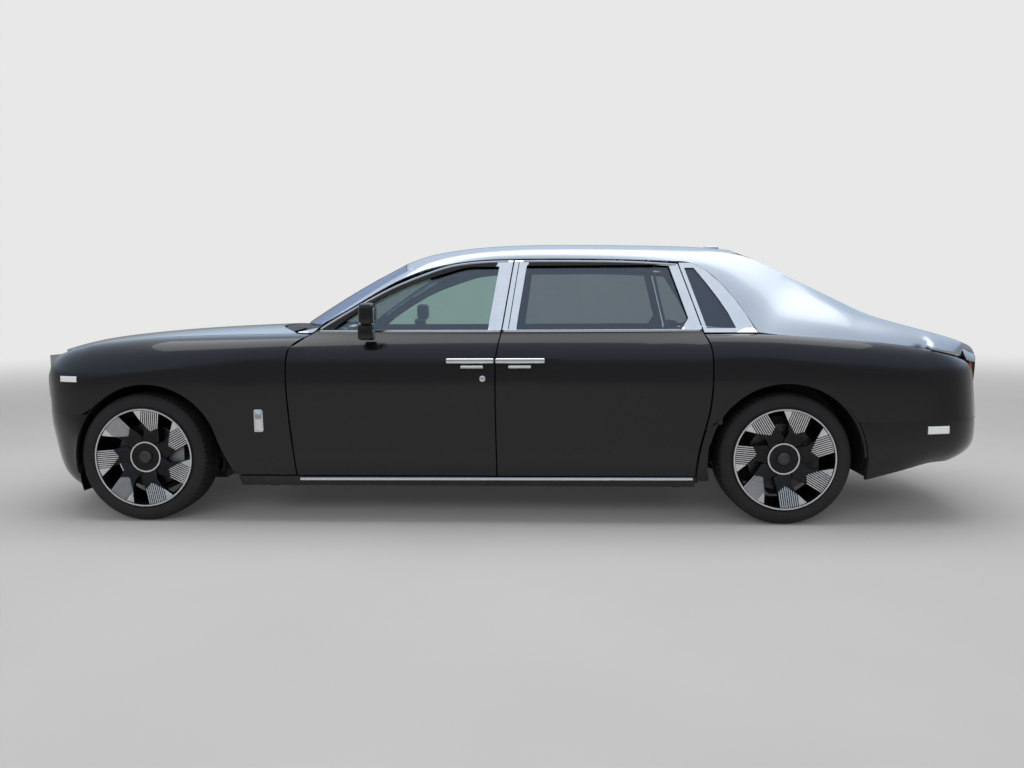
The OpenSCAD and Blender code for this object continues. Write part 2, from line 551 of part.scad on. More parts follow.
// Inner face of a bumper: level at its top edge, straight inboard at its two ends
function bumper_inner(p) =
  let (r = len(p) - 1, c = len(p[0]) - 1)
  [for (i = [0:r]) [for (j = [0:c])
    j == 0 || j == c ? p[i][j] - [0, sign(p[i][j][1]) * wing_t, 0]
    : p[i][j] - wing_t * (i == r ? level_n(p, i, j) : grid_n(p, i, j))]];
front_face = [[643.7, 0], [560, 3], [479, 18], [400, 30], [310, 48], [230, 84], [172, 150]];
module front_bumper() {
  n = len(front_out);
  list = concat([for (i = [n - 1:-1:1]) [front_out[i][0], -front_out[i][1]]], front_out);
  m = len(list);
  function nrm(j) =
    let (a = list[max(j - 1, 0)], b = list[min(j + 1, m - 1)], d = unit([b[0] - a[0],
      b[1] - a[1]]))
    [d[1], -d[0]];
  p = [for (i = [len(front_face) - 1:-1:0]) [for (j = [0:m - 1])
    let (
      z = front_face[i][0], g = front_face[i][1] * (j == 0 || j == m - 1 ? 0.35 : 1),
      end = j == 0 || j == m - 1,
      o = [end ? front_arch_x - sqrt(pow(front_arch_r, 2) - pow(max(z, 385) - 385, 2))
        : list[j][0], list[j][1]]
    )
    left(o[0] + g * nrm(j)[0] * (end ? 0 : 1), o[1] + (end ? -sign(list[j][1]) * g
      : g * nrm(j)[1]), z)]];
  panel(p, bumper_inner(p), [[4, 6, 7, 13], [1, 3, 6, 14]]);
}
rear_out = [[2130, 984], [2300, 970], [2430, 952], [2560, 926], [2660, 896], [2740, 842],
  [2800, 776], [2845, 700], [2888, 600], [2928, 450], [2958, 280], [2975, 130], [2981, 0]];
rear_face = [[603.7, 0], [560, 0], [478, 0], [430, 16], [385, 56], [350, 110]];
module rear_bumper() {
  n = len(rear_out);
  list = concat(rear_out, [for (i = [n - 2:-1:0]) [rear_out[i][0], -rear_out[i][1]]]);
  m = len(list);
  function nrm(j) =
    let (a = list[max(j - 1, 0)], b = list[min(j + 1, m - 1)], d = unit([b[0] - a[0],
      b[1] - a[1]]))
    [d[1], -d[0]];
  p = [for (i = [len(rear_face) - 1:-1:0]) [for (j = [0:m - 1])
    let (
      k = rear_face[i],
      side = max(0, min(1, (2560 - list[j][0]) / 430)),
      end = j == 0 || j == m - 1,
      z = mix(k[0], 603.7 - (603.7 - k[0]) * 1.33, side),
      g = k[1] * mix(1, 0.4, side),
      x = end ? 1665 + sqrt(pow(rear_arch_r, 2) - pow(max(z, 385) - 385, 2)) + 8 : list[j][0]
    )
    left(x + g * nrm(j)[0] * (end ? 0 : 1), list[j][1] + (end ? -sign(list[j][1]) * g
      : g * nrm(j)[1]), z)]];
  panel(p, bumper_inner(p));
}

// Glass
us_glass = [-1, -0.8, -0.6, -0.3, 0, 0.3, 0.6, 0.8, 1];
// Windscreen between the silver sides: base line on the cowl, top line at the roof
module windscreen() {
  k = [for (e = side_edge_top) if (e[0] > -1060 && e[0] < -560) e];
  n = len(k) - 1;
  p = [for (u = us_glass) [for (j = [0:n])
    let (t = (k[j][0] - k[0][0]) / (k[n][0] - k[0][0]), c = 1 - u * u,
      dx = mix(256, 75, t), dz = mix(6, 74, t) + 26 * t * (1 - t))
    left(k[j][0] - dx * c - (j == n ? glass_gap + 2.5 : 0), -u * (k[j][1] - glass_gap),
      k[j][2] + dz * c - 1)]];
  panel(p, [for (r = p) [for (v = r) v - [0, 0, glass_t + 1]]]);
}
module rear_window() {
  k = [for (e = side_edge_top) if (e[0] > 1439 && e[0] < 2265) e];
  n = len(k) - 1;
  p = [for (u = us_glass) [for (j = [0:n])
    let (t = j / n, c = 1 - pow(abs(u), 2.2),
      e = j == n ? mix(k[n - 1], k[n], 0.88) : k[j])
    left(e[0] + (j == 0 ? glass_gap + 2.5 : 0), -u * (e[1] - glass_gap), e[2] + mix(52, 41, t) * c - 1)]];
  panel(p, [for (r = p) [for (v = r) v - [0, 0, glass_t + 1]]]);
}
// Quarter window behind the rear door: x of the surround's and the pane's edges at each height
quarter_rows = [1118, 1142, 1230, 1320, 1410, 1497, 1528];
side_low_x = [[1118, 1508], [1205, 1462], [1300, 1402], [1365, 1352], [1437, 1290], [1500, 1215],
  [1536, 1140]];
function quarter_front(z) = mix(1190, 1072, (z - 1139) / 386) + half_gap;
function quarter_pane(z) = lookup(z, [[1142, 1385], [1230, 1345], [1320, 1290], [1410, 1228],
  [1497, 1164]]);
function quarter_y(x, z) = skin(x, z) - 2;
module window_surround() {
  p = [for (z = quarter_rows)
    let (a = quarter_front(z), b = lookup(z, side_low_x) - 2, w = quarter_pane(z))
    [for (x = [a, a + 22, mix(a + 22, w, 0.5), w, mix(w, b, 0.5), b])
      left(x, quarter_y(x, z), z)]];
  panel(p, [for (r = p) [for (v = r) v + [0, 18, 0]]], [[1, 5, 1, 3]]);
}
module quarter_glass() {
  g = glass_gap;
  p = [for (i = [1:5])
    let (z = quarter_rows[i], a = quarter_front(z) + 22, w = quarter_pane(z))
    [for (x = [a + g, mix(a, w, 0.5), w - g])
      left(x, quarter_y(x, z), z + (i == 1 ? g : i == 5 ? -g : 0)) + [0, 8, 0]]];
  panel(p, [for (r = p) [for (v = r) v + [0, glass_t, 0]]]);
}
module fixed_glass() {
  color("black") {
    windscreen();
    rear_window();
    right_too() quarter_glass();
  }
}

// Body structure
sill_in = 800;
post_out = 962.9;
tunnel = 205;
// Front face of a rear hinge: against the rear edge of the rear door, 60 mm inside its skin
function rear_hinge_x(z) = lookup(z, [for (r = door_rows) [r, curve(rear_shut, r)]]) - half_gap
  - 14 * 60 / door_t + touch;
// Rear face of a front hinge, against the front edge of the front door in the same way
function front_hinge_x(z) = lookup(z, [for (r = door_rows) [r, curve(front_shut, r)]]) + half_gap
  + 14 * 60 / door_t - touch;
module side_frames() {
  // Front post with the front door's hinges, middle post, and rear post with the rear hinges
  color("dimgray") right_too() {
    block([-1330, -1245], [-post_out, -760], [405, 1000]);
    block([-1330, -1245], [-940, -760], [282.3, 406]);
    for (z = [[400, 430], [835, 865]]) {
      block([-1246, front_hinge_x(z[1])], [-940, -880], z);
      block([rear_hinge_x(max(z[1], 630)), 1262], [-940, -905], [max(z[0], 600), max(z[1], 630)]);
    }
    block([1258, 1300], [-post_out, -905], [590, 900]);
    loft([for (k = [[28, 814, 24, 282.3], [29, 822, 24, 350], [30, 824, 24, 900], [36, 815, 24, 1000],
      [40, 790, 20, 1060], [46, 764, 20, 1117], [56, 772, 20, 1200], [76, 702, 20, 1400],
      [86, 652, 18, 1485], [90, 628, 16, 1508]])
      [left(k[0] - 50, k[1] - k[2], k[3]), left(k[0] + 50, k[1] - k[2], k[3]),
        left(k[0] + 50, k[1] + k[2], k[3]), left(k[0] - 50, k[1] + k[2], k[3])]]);
  }
}
module floor_pan() {
  color("dimgray") {
    difference() {
      union() {
        // Floor, tunnel and the panel behind the rear seat
        block([-1470, 1192], [-sill_in, sill_in], [215, 247]);
        block([-1470, -860], [-tunnel, tunnel], [215, 470]);
        block([-861, 1192], [-tunnel, tunnel], [215, 405]);
        block([1180, 1192], [-640, 640], [215, 760]);
      }
      block([-1480, -872], [-tunnel + 12, tunnel - 12], [200, 458]);
      block([-873, 1200], [-tunnel + 12, tunnel - 12], [200, 393]);
    }
    right_too() {
      // Sill with its jacking pads
      translate([px(-1530), 0, 0]) rotate([90, 0, 90]) linear_extrude(px(1150) - px(-1530))
        polygon([for (k = [[-790, 282], [-790, 215], [-912, 215], [-952, 252], [-974, 282]])
          [py(k[0]), pz(k[1])]]);
      for (x = [-1350, 1050])
        translate([px(x), py(-850), pz(205)]) cylinder(h = 12, r = 32, $fn = 48);
      // Rails, from the bumper beam to the toe of the floor, and under the boot
      block([-2758, -1440], [-475, -385], [300, 410]);
      block([-1470, -1440], [-475, -385], [215, 410]);
      block([1190, 2850], [-475, -385], [430, 489]);
      // Inner wing
      block([-2740, -1500.3], [-490, -478], [405, 930]);
      block([-2785, -2740], [-545, 0], [420, 540]);
      block([-2760, -2725], [-478, 0], [405, 900]);
      block([1185, 2850], [-500, 0], [488, 500]);
      block([2838, 2850], [-560, 0], [488, 600]);
    }
  }
}
module bulkhead() {
  color("dimgray") {
    difference() {
      union() {
        block([-1500, -1470.3], [-760, 760], [215, 1060]);
        block([-1480, -1180], [-700, 700], [1045, 1060]);
      }
      block([-1510, -1460], [-tunnel, tunnel], [200, 475]);
      right_too() block([-1510, -1460], [-475 - touch, -385 + touch], [200, 410 + touch]);
    }
    // Brackets and pins of the bonnet's hinges
    right_too() {
      block([-1212, -1188], [-682, -668], [1058, 1121]);
      translate([px(-1200), py(-682), bonnet_pin_z]) rotate([90, 0, 0])
        cylinder(h = 30, r = pin_r, $fn = 48);
    }
    // Wall behind the rear seat, parcel shelf, and the pins of the boot lid
    block([1400, 1415], [-495, 495], [500.3, 1090]);
    block([1400, 1415], [-600, 600], [800, 1090]);
    block([1400, 2296], [-600, 600], [1085, 1100]);
    right_too() {
      block([2271, 2292], [-225, -205], [1099, 1179]);
      translate([px(2280), py(-224), boot_pin_z]) rotate([90, 0, 0])
        cylinder(h = 40, r = pin_r, $fn = 48);
    }
  }
  color("black") cowl();
}
// Plate between the bonnet's rear edge and the windscreen, notched for the bonnet's arms
module cowl() {
  rows = [-0.97, -0.906, -0.826, -0.6, -0.3, 0, 0.3, 0.6, 0.826, 0.906, 0.97];
  p = [for (u = rows)
    let (yb = abs(u) * 800, a = curve(xs_back, min(1, abs(u) * 0.995)) + 12,
      v = abs(u), base = [-1056 - 256 * (1 - v * v) + 14, 1172 + 6 * (1 - v * v) - 7.5],
      za = bonnet_z(a - 12, v) - 9)
    [for (t = [0, 0.5, 1]) left(mix(a, base[0], t), -u * mix(797, 782, t),
      mix(za, base[1], t) + 4 * t * (1 - t))]];
  n = len(rows) - 1;
  panel(p, [for (r = p) [for (v = r) v - [0, 0, 4]]], [[1, 2, 0, 1], [n - 2, n - 1, 0, 1]]);
}

// Running gear
module tyre(w) {
  color("black") rotate([90, 0, 0]) rotate_extrude($fn = 96)
    polygon([[rim_r - 4, -w / 2 + 26], [rim_r + 4, -w / 2 + 8], [rim_r + 22, -w / 2 + 2],
      [tyre_r - 40, -w / 2], [tyre_r - 14, -w / 2 + 12], [tyre_r - 3, -w / 2 + 34],
      [tyre_r, 0], [tyre_r - 3, w / 2 - 34], [tyre_r - 14, w / 2 - 12], [tyre_r - 40, w / 2],
      [rim_r + 22, w / 2 - 2], [rim_r + 4, w / 2 - 8], [rim_r - 4, w / 2 - 26]]);
}
// Wheel with its outer face toward -Y, centred on the tyre; the brake disc turns with it
hub_r = 35;
disc_t = 34;
module wheel(w) {
  h = w / 2;
  color("dimgray") rotate([90, 0, 0]) {
    // Barrel, from the outer lip to the inner lip
    rotate_extrude($fn = 96)
      polygon([[rim_r - 4 - touch, h - 26], [rim_r + 3, h - 8 - 1], [rim_r + 3, h - 4],
        [rim_r - 14, h - 4], [rim_r - 20, h - 30], [rim_r - 32, h - 60], [rim_r - 32, -h + 30],
        [rim_r - 14, -h + 6], [rim_r + 3, -h + 6], [rim_r + 3, -h + 9],
        [rim_r - 4 - touch, -h + 26]]);
    // Hub and brake disc with the bore for the bearing
    difference() {
      union() {
        translate([0, 0, h - 120]) cylinder(h = 90 - dish, r = 92, $fn = 64);
        translate([0, 0, h - 134]) cylinder(h = disc_t, r = disc_r, $fn = 96);
      }
      translate([0, 0, h - 135]) cylinder(h = 55, r = hub_r, $fn = 64);
    }
    translate([0, 0, h - 30 - dish - 0.1]) cylinder(h = 14, r = cap_r, $fn = 64);
    // Spokes with their windows
    difference() {
      translate([0, 0, h - 62]) cylinder(h = 40, r = rim_r - 24, $fn = 96);
      translate([0, 0, h - 42]) cylinder(h = 60, r1 = 60, r2 = rim_r + 2, $fn = 96);
      for (i = [0:spokes - 1]) rotate([0, 0, i * 360 / spokes + 26])
        translate([0, 0, h - 80]) linear_extrude(height = 90)
          polygon([[118, 14], [rim_r - 32, 70], [rim_r - 30, -14], [rim_r - 34, -40], [120, -30]]);
    }
  }
}
module front_place(s) {
  translate([front_x, s * front_tyre_y, tyre_r]) rotate([0, 0, s > 0 ? 180 : 0]) children();
}
module rear_place(s) {
  translate([rear_x, s * rear_tyre_y, tyre_r]) rotate([0, 0, s > 0 ? 180 : 0]) children();
}
// Hub carrier on the left: block, stub in the wheel's bore, and caliper over the brake disc
king_in = 50;
module carrier(w, z0, z1, stub) {
  off = w / 2 - 134;
  translate([-45, 25, z0]) cube([90, 60, z1 - z0]);
  rotate([90, 0, 0]) translate([0, 0, -30]) cylinder(h = stub + 30, r = hub_r - touch, $fn = 64);
  difference() {
    translate([120, -off - disc_t - 18, -90]) cube([95, disc_t + 70, 180]);
    translate([110, -off - disc_t - 6, -91]) cube([disc_r + 6 - 110, disc_t + 12, 182]);
  }
  translate([40, 36, -40]) cube([120, 20, 80]);
}
module knuckle() {
  color("gray") {
    carrier(front_tyre_w, -130, 130, 40);
    translate([-160, 40, -60]) cube([125, 30, 25]);
  }
}
// Arms, damper and ball studs of one side, on the left
arm_z = 150;
module side_arms(x, y, front) {
  color("dimgray") {
    translate([x - 45, -y, arm_z]) cube([90, y - 300, 30]);
    translate([x, -546, arm_z + 10]) cylinder(h = 555, r = 42, $fn = 48);
    translate([x - 35, -y, 2 * tyre_r - arm_z - 30]) cube([70, y - 540, 30]);
    if (front) {
      translate([x, -front_tyre_y + king_in, arm_z + 20])
        cylinder(h = tyre_r - 130 - touch - arm_z - 20, r = 14, $fn = 48);
      translate([x, -front_tyre_y + king_in, tyre_r + 130 + touch])
        cylinder(h = tyre_r - 130 - arm_z - 20, r = 14, $fn = 48);
    }
  }
}
module front_axle() {
  y = front_tyre_y - 25;
  right_too() side_arms(front_x, y, true);
  color("dimgray") {
    translate([front_x - 150, -360, arm_z]) cube([420, 720, 60]);
    // Steering rack, engine mounts and mounts under the rails
    translate([front_x - 125, 380, arm_z + 82]) rotate([90, 0, 0]) cylinder(h = 760, r = 24, $fn = 48);
    right_too() {
      translate([front_x + 110, -250, arm_z + 50])
        cylinder(h = pz(330) - touch - arm_z - 50, r = 40, $fn = 48);
      translate([front_x, py(-430), arm_z + 20])
        cylinder(h = pz(300) - touch - arm_z - 20, r = 30, $fn = 48);
    }
  }
}
module rear_axle() {
  y = rear_tyre_y - 25;
  right_too() side_arms(rear_x, y, false);
  color("dimgray") {
    translate([rear_x - 220, -462, arm_z + 10]) cube([440, 924, 80]);
    block([1541, 1791], [-110, 110], [235, 425]);
    right_too() {
      translate([rear_x, -y + 40, tyre_r]) rotate([-90, 0, 0]) cylinder(h = y - 100, r = 26, $fn = 48);
      translate([rear_x + 110, py(-430), arm_z + 80])
        cylinder(h = pz(430) - touch - arm_z - 80, r = 30, $fn = 48);
      translate([rear_x, -rear_tyre_y, tyre_r]) carrier(rear_tyre_w, -215, 215, 55);
    }
    // Propeller shaft from the gearbox
    translate([px(-899.7), 0, pz(352)]) rotate([0, 90, 0])
      cylinder(h = px(1545) - px(-899.7), r = 32, $fn = 48);
  }
}
module engine() {
  // Engine and gearbox as one plain block with the real size and place
  color("gray") {
    block([-2211, -1531], [-370, 370], [330, 970]);
    block([-1532, -900], [-150, 150], [262, 440]);
  }
}
module liner(x, r, inside, out) {
  // Half ring over the wheel, open below
  color("black") translate([x, -inside, tyre_r]) rotate([90, 0, 0])
    rotate_extrude(angle = 180, $fn = 72) translate([r, 0]) square([6, out - inside]);
}
module underside() {
  color("black") right_too() {
    liner(front_x + 20, front_arch_r + 10, py(490) + touch, 850);
    liner(rear_x, rear_arch_r + 2, py(500) + touch, 905);
  }
  // Exhaust: one pipe and one silencer on each side
  color("silver") right_too() {
    block([2130, 2560], [-560, -132], [285, 415]);
    block([2300, 2330], [-440, -420], [410, 430 - touch]);
    translate([px(-870), py(-158), pz(306)]) rotate([0, 90, 0])
      cylinder(h = px(2140) - px(-870), r = 26, $fn = 48);
    translate([px(2550), py(-445), pz(372)]) rotate([0, 90, 0])
      cylinder(h = px(2735) - px(2550), r = 34, $fn = 48);
  }
}

// Front and rear fittings
module grille() {
  w = grille_half_w;
  x = nose_x + 4;
  color("silver") {
    translate([x, -w - 40, pz(520)]) cube([66, 40, pz(968) - pz(520)]);
    translate([x, w, pz(520)]) cube([66, 40, pz(968) - pz(520)]);
    translate([x, -w - 1, pz(930)]) cube([66, 2 * w + 2, pz(968) - pz(930)]);
    translate([x, -w - 1, pz(520)]) cube([66, 2 * w + 2, 30]);
    for (i = [-grille_bars:grille_bars])
      translate([x + 8, i * w / (grille_bars + 1) - bar_w / 2, pz(520) + 29])
        cube([40, bar_w, pz(931) - pz(520) - 29]);
    for (s = [-1, 1])
      translate([x + 60, s * 300 - 15, pz(500)]) cube([px(-2785) - touch - x - 60, 30, 50]);
  }
}
module headlamps() {
  c = lamp_cells;
  color("white") right_too() panel(inset(wing_p, c[0], c[1], c[2], c[3], glass_gap),
    inset(wing_q, c[0], c[1], c[2], c[3], glass_gap));
}
module tail_lamps() {
  color("red") right_too() {
    // Height of each row, and half width where the row meets the quarter's rear edge
    rows = [[650, 640], [740, 640], [820, 640], [878, 640], [908, 635], [929, 622.5]];
    p = [for (e = rows) [for (k = [0:2])
      let (t = k / 2)
      left(mix(2872, 2892, t) - tail_back(e[0]) + 1, mix(e[1] - 2 * touch, 576, t), e[0])]];
    sheet(p, 30);
  }
}

// Interior
module dashboard() {
  color("saddlebrown") {
    loft([for (y = steps(-695, 695, 6)) [for (k = [[-1179.7, 800], [-1179.7, 1075], [-1110, 1092],
      [-940, 1046], [-880, 960], [-980, 790]]) left(k[0], -y, k[1])]]);
    translate(steer_pos) rotate([0, 65, 0]) translate([0, 0, -170])
      cylinder(h = 170 - 30, r = 36, $fn = 48);
    translate(steer_pos) rotate([0, 65, 0]) translate([0, 0, -60])
      cylinder(h = 57.7, r = column_r - touch, $fn = 48);
  }
}
steer_pos = [px(-800), py(-370), pz(960)];
column_r = 12;
module steering_wheel() {
  color("black") translate(steer_pos) rotate([0, 65, 0]) {
    rotate_extrude($fn = 96) translate([wheel_rim_r - 14, 0]) circle(r = 14, $fn = 24);
    difference() {
      translate([0, 0, -22]) cylinder(h = 40, r = 62, $fn = 64);
      translate([0, 0, -23]) cylinder(h = 21, r = column_r, $fn = 48);
    }
    for (a = [0, 180, 270]) rotate([0, 0, a]) translate([40, -14, -8])
      cube([wheel_rim_r - 58, 28, 14]);
  }
}
// Seat on its plinth: cushion, back and head rest
module seat(x, y, w, h) {
  translate([px(x), py(y), pz(247) + touch]) {
    translate([-250, -w / 2 + 95, 0]) cube([470, w - 190, 236]);
    translate([-300, -w / 2, 233]) cube([560, w, seat_z - pz(247) - touch - 233]);
    translate([120, -w / 2, 300]) rotate([0, 18, 0]) cube([140, w, h - 180]);
    translate([120 + (h - 180) * 0.309 + 20, -140, 270 + (h - 180) * 0.951])
      rotate([0, 14, 0]) cube([90, 280, 190]);
  }
}
module seats() {
  color("saddlebrown") {
    for (x = [[-330, 720], [808, 700]]) for (s = [-1, 1]) seat(x[0], s * 400, seat_w, x[1]);
  }
}
module mirror_head() {
  // Foot on the door, arm and head
  color("black") {
    loft(concat(
      [[for (c = [[-769, 1082], [-701, 1082], [-701, 1114], [-769, 1114]])
        left(c[0], door_y(c[0], c[1]) + 1.2, c[1])]],
      [for (k = [[-738, 985, 1104, 30, 20], [-730, 1030, 1160, 26, 18], [-726, 1042, 1180, 26, 12]])
        [left(k[0] - k[3], k[1], k[2] - k[4]), left(k[0] + k[3], k[1], k[2] - k[4]),
         left(k[0] + k[3], k[1], k[2] + k[4]), left(k[0] - k[3], k[1], k[2] + k[4])]]));
    loft([for (k = [[-716, 1000, 1232, 16, 50], [-722, 1014, 1232, 34, 60], [-724, 1050, 1234, 44, 63],
      [-726, 1110, 1236, 40, 58], [-724, 1130, 1236, 22, 40]])
      [left(k[0] - k[3], k[1], k[2] - k[4]), left(k[0] + k[3], k[1], k[2] - k[4]),
       left(k[0] + k[3], k[1], k[2] + k[4]), left(k[0] - k[3], k[1], k[2] + k[4])]]);
  }
}
// Lugs with the bores for the hinge pins, on the lids
module bonnet_lug() {
  right_too() difference() {
    union() {
      block([-1300, -1266], [-708, -692], [1070, 1094.6]);
      translate([px(-1200), py(-692), bonnet_pin_z]) rotate([90, 0, 0])
        linear_extrude(16) polygon([[-90, -42], [-66, -42], [4, -13.4], [-4, 13.4], [-66, -17],
          [-90, -17]]);
      translate([px(-1200), py(-692), bonnet_pin_z]) rotate([90, 0, 0])
        cylinder(h = 16, r = 14, $fn = 48);
    }
    translate([px(-1200), py(-680), bonnet_pin_z]) rotate([90, 0, 0])
      cylinder(h = 50, r = pin_r + touch, $fn = 48);
  }
}
module boot_lug() {
  right_too() difference() {
    block([2266, 2312], [-258, -242], [1155, 1187.4]);
    translate([px(2280), py(-235), boot_pin_z]) rotate([90, 0, 0])
      cylinder(h = 30, r = pin_r + touch, $fn = 48);
  }
}

floor_pan();
side_frames();
color("silver") roof();  // roof_panel
color("black") wing();  // front_wing_left
color("black") mirror([0, 1, 0]) wing();  // front_wing_right
color("black") quarter();  // quarter_left
color("black") mirror([0, 1, 0]) quarter();  // quarter_right
color("silver") right_too() body_side();  // body_sides
color("black") front_bumper();
color("black") rear_bumper();
grille();
headlamps();
tail_lamps();
color("silver") right_too() window_surround();  // window_surrounds
fixed_glass();
bulkhead();
dashboard();
steering_wheel();
seats();
module front_door() {
  color("black") door(true);
  front_handle();
}
module rear_door() {
  color("black") door(false);
  rear_handle();
}
front_door();  // front_door_left
mirror([0, 1, 0]) front_door();  // front_door_right
rear_door();  // rear_door_left
mirror([0, 1, 0]) rear_door();  // rear_door_right
color("gray") door_window(true);  // front_window_left
color("gray") mirror([0, 1, 0]) door_window(true);  // front_window_right
color("gray") door_window(false);  // rear_window_left
color("gray") mirror([0, 1, 0]) door_window(false);  // rear_window_right
mirror_head();  // mirror_left
mirror([0, 1, 0]) mirror_head();  // mirror_right
union() {
  color("silver") bonnet();
  color("dimgray") bonnet_lug();
}
union() {
  color("silver") boot_lid();
  color("dimgray") boot_lug();
}
engine();
front_axle();
rear_axle();
front_place(-1) knuckle();  // knuckle_left
mirror([0, 1, 0]) front_place(-1) knuckle();  // knuckle_right
front_place(-1) tyre(front_tyre_w);  // tyre_front_left
front_place(1) tyre(front_tyre_w);  // tyre_front_right
rear_place(-1) tyre(rear_tyre_w);  // tyre_rear_left
rear_place(1) tyre(rear_tyre_w);  // tyre_rear_right
front_place(-1) wheel(front_tyre_w);  // wheel_front_left
front_place(1) wheel(front_tyre_w);  // wheel_front_right
rear_place(-1) wheel(rear_tyre_w);  // wheel_rear_left
rear_place(1) wheel(rear_tyre_w);  // wheel_rear_right
underside();
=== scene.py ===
# %% [markdown]
# # A long luxury sedan, dressed for a studio picture
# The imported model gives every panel, wheel and lamp its real place and size.
# This lesson keeps those solids as the frame, and adds what the eye looks for on a real car:
# smooth reflections, chrome, glass, machined wheels, stitched leather and thin shut lines.
# All numbers are in metres, with X to the rear, Y to the car's right and Z up.

import bpy
import json
import math
from mathutils import Matrix, Vector
from mathutils.bvhtree import BVHTree

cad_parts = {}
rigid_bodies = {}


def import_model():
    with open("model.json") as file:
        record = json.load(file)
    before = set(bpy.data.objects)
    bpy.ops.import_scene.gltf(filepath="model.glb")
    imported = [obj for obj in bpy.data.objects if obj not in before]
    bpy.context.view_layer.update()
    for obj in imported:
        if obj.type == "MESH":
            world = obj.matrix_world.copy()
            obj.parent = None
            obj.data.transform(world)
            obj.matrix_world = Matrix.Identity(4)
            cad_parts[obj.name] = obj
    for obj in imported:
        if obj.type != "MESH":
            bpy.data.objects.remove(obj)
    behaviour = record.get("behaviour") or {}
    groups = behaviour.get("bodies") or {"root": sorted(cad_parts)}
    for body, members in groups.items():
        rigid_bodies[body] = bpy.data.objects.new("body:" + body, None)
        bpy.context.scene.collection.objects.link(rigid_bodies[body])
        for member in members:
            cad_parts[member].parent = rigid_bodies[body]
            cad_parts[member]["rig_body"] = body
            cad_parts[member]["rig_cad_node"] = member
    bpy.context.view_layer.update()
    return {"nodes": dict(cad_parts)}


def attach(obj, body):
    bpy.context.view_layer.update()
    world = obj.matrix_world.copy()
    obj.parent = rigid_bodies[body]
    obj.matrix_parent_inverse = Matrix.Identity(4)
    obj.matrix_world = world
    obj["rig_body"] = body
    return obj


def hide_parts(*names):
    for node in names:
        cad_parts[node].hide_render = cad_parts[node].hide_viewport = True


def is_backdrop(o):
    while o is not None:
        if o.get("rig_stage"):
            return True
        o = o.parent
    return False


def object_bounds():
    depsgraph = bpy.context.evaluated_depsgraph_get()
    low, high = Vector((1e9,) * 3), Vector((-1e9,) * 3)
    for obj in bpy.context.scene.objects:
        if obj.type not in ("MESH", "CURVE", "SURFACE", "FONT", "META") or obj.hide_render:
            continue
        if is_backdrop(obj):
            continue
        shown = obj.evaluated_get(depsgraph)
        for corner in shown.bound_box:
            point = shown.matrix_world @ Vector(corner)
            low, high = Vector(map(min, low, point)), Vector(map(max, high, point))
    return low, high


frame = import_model()
NODES = frame["nodes"]
SCENE = bpy.context.scene

# %% [markdown]
# ## The camera
# The photograph was taken from the car's left, a little behind its middle, at shoulder height.
# Its place, turn and lens were worked out from the wheels and the roof line, so a piece that is
# modelled at its real place also lands on its place in the picture.

# %% Camera
CAMERA_PLACE = Vector((0.317, -5.912, 1.263))
YAW, PITCH, ROLL = -0.0459, 0.0882, -0.0047
FOCAL_PIXELS, IMAGE_WIDTH, SENSOR = 859.3, 1024, 36.0
camera = bpy.data.objects.new("camera", bpy.data.cameras.new("camera"))
SCENE.collection.objects.link(camera)
camera.data.sensor_width = SENSOR
camera.data.lens = FOCAL_PIXELS * SENSOR / IMAGE_WIDTH
ahead = Vector((math.sin(YAW) * math.cos(PITCH), math.cos(YAW) * math.cos(PITCH), -math.sin(PITCH)))
across = Vector((math.cos(YAW), -math.sin(YAW), 0))
upright = across.cross(ahead)
side = across * math.cos(ROLL) + upright * math.sin(ROLL)
top = upright * math.cos(ROLL) - across * math.sin(ROLL)
turn = Matrix((side, top, -ahead)).transposed().to_4x4()
camera.matrix_world = Matrix.Translation(CAMERA_PLACE) @ turn
SCENE.camera = camera
print("lens in mm:", round(camera.data.lens, 2))

# %% [markdown]
# ## Shader maths in plain Python
# A shader is a web of nodes. Drawn by hand it is quick to make and slow to read, so one small
# class wraps a socket: adding or multiplying two of them adds the Math node for it.

# %% Value and Shader classes
class Value:
    """A socket of a shader, on which plain arithmetic works."""

    def __init__(self, shader, socket):
        self.shader = shader
        self.socket = socket

    def __add__(self, other):
        return self.shader.maths("ADD", self, other)

    def __mul__(self, other):
        return self.shader.maths("MULTIPLY", self, other)


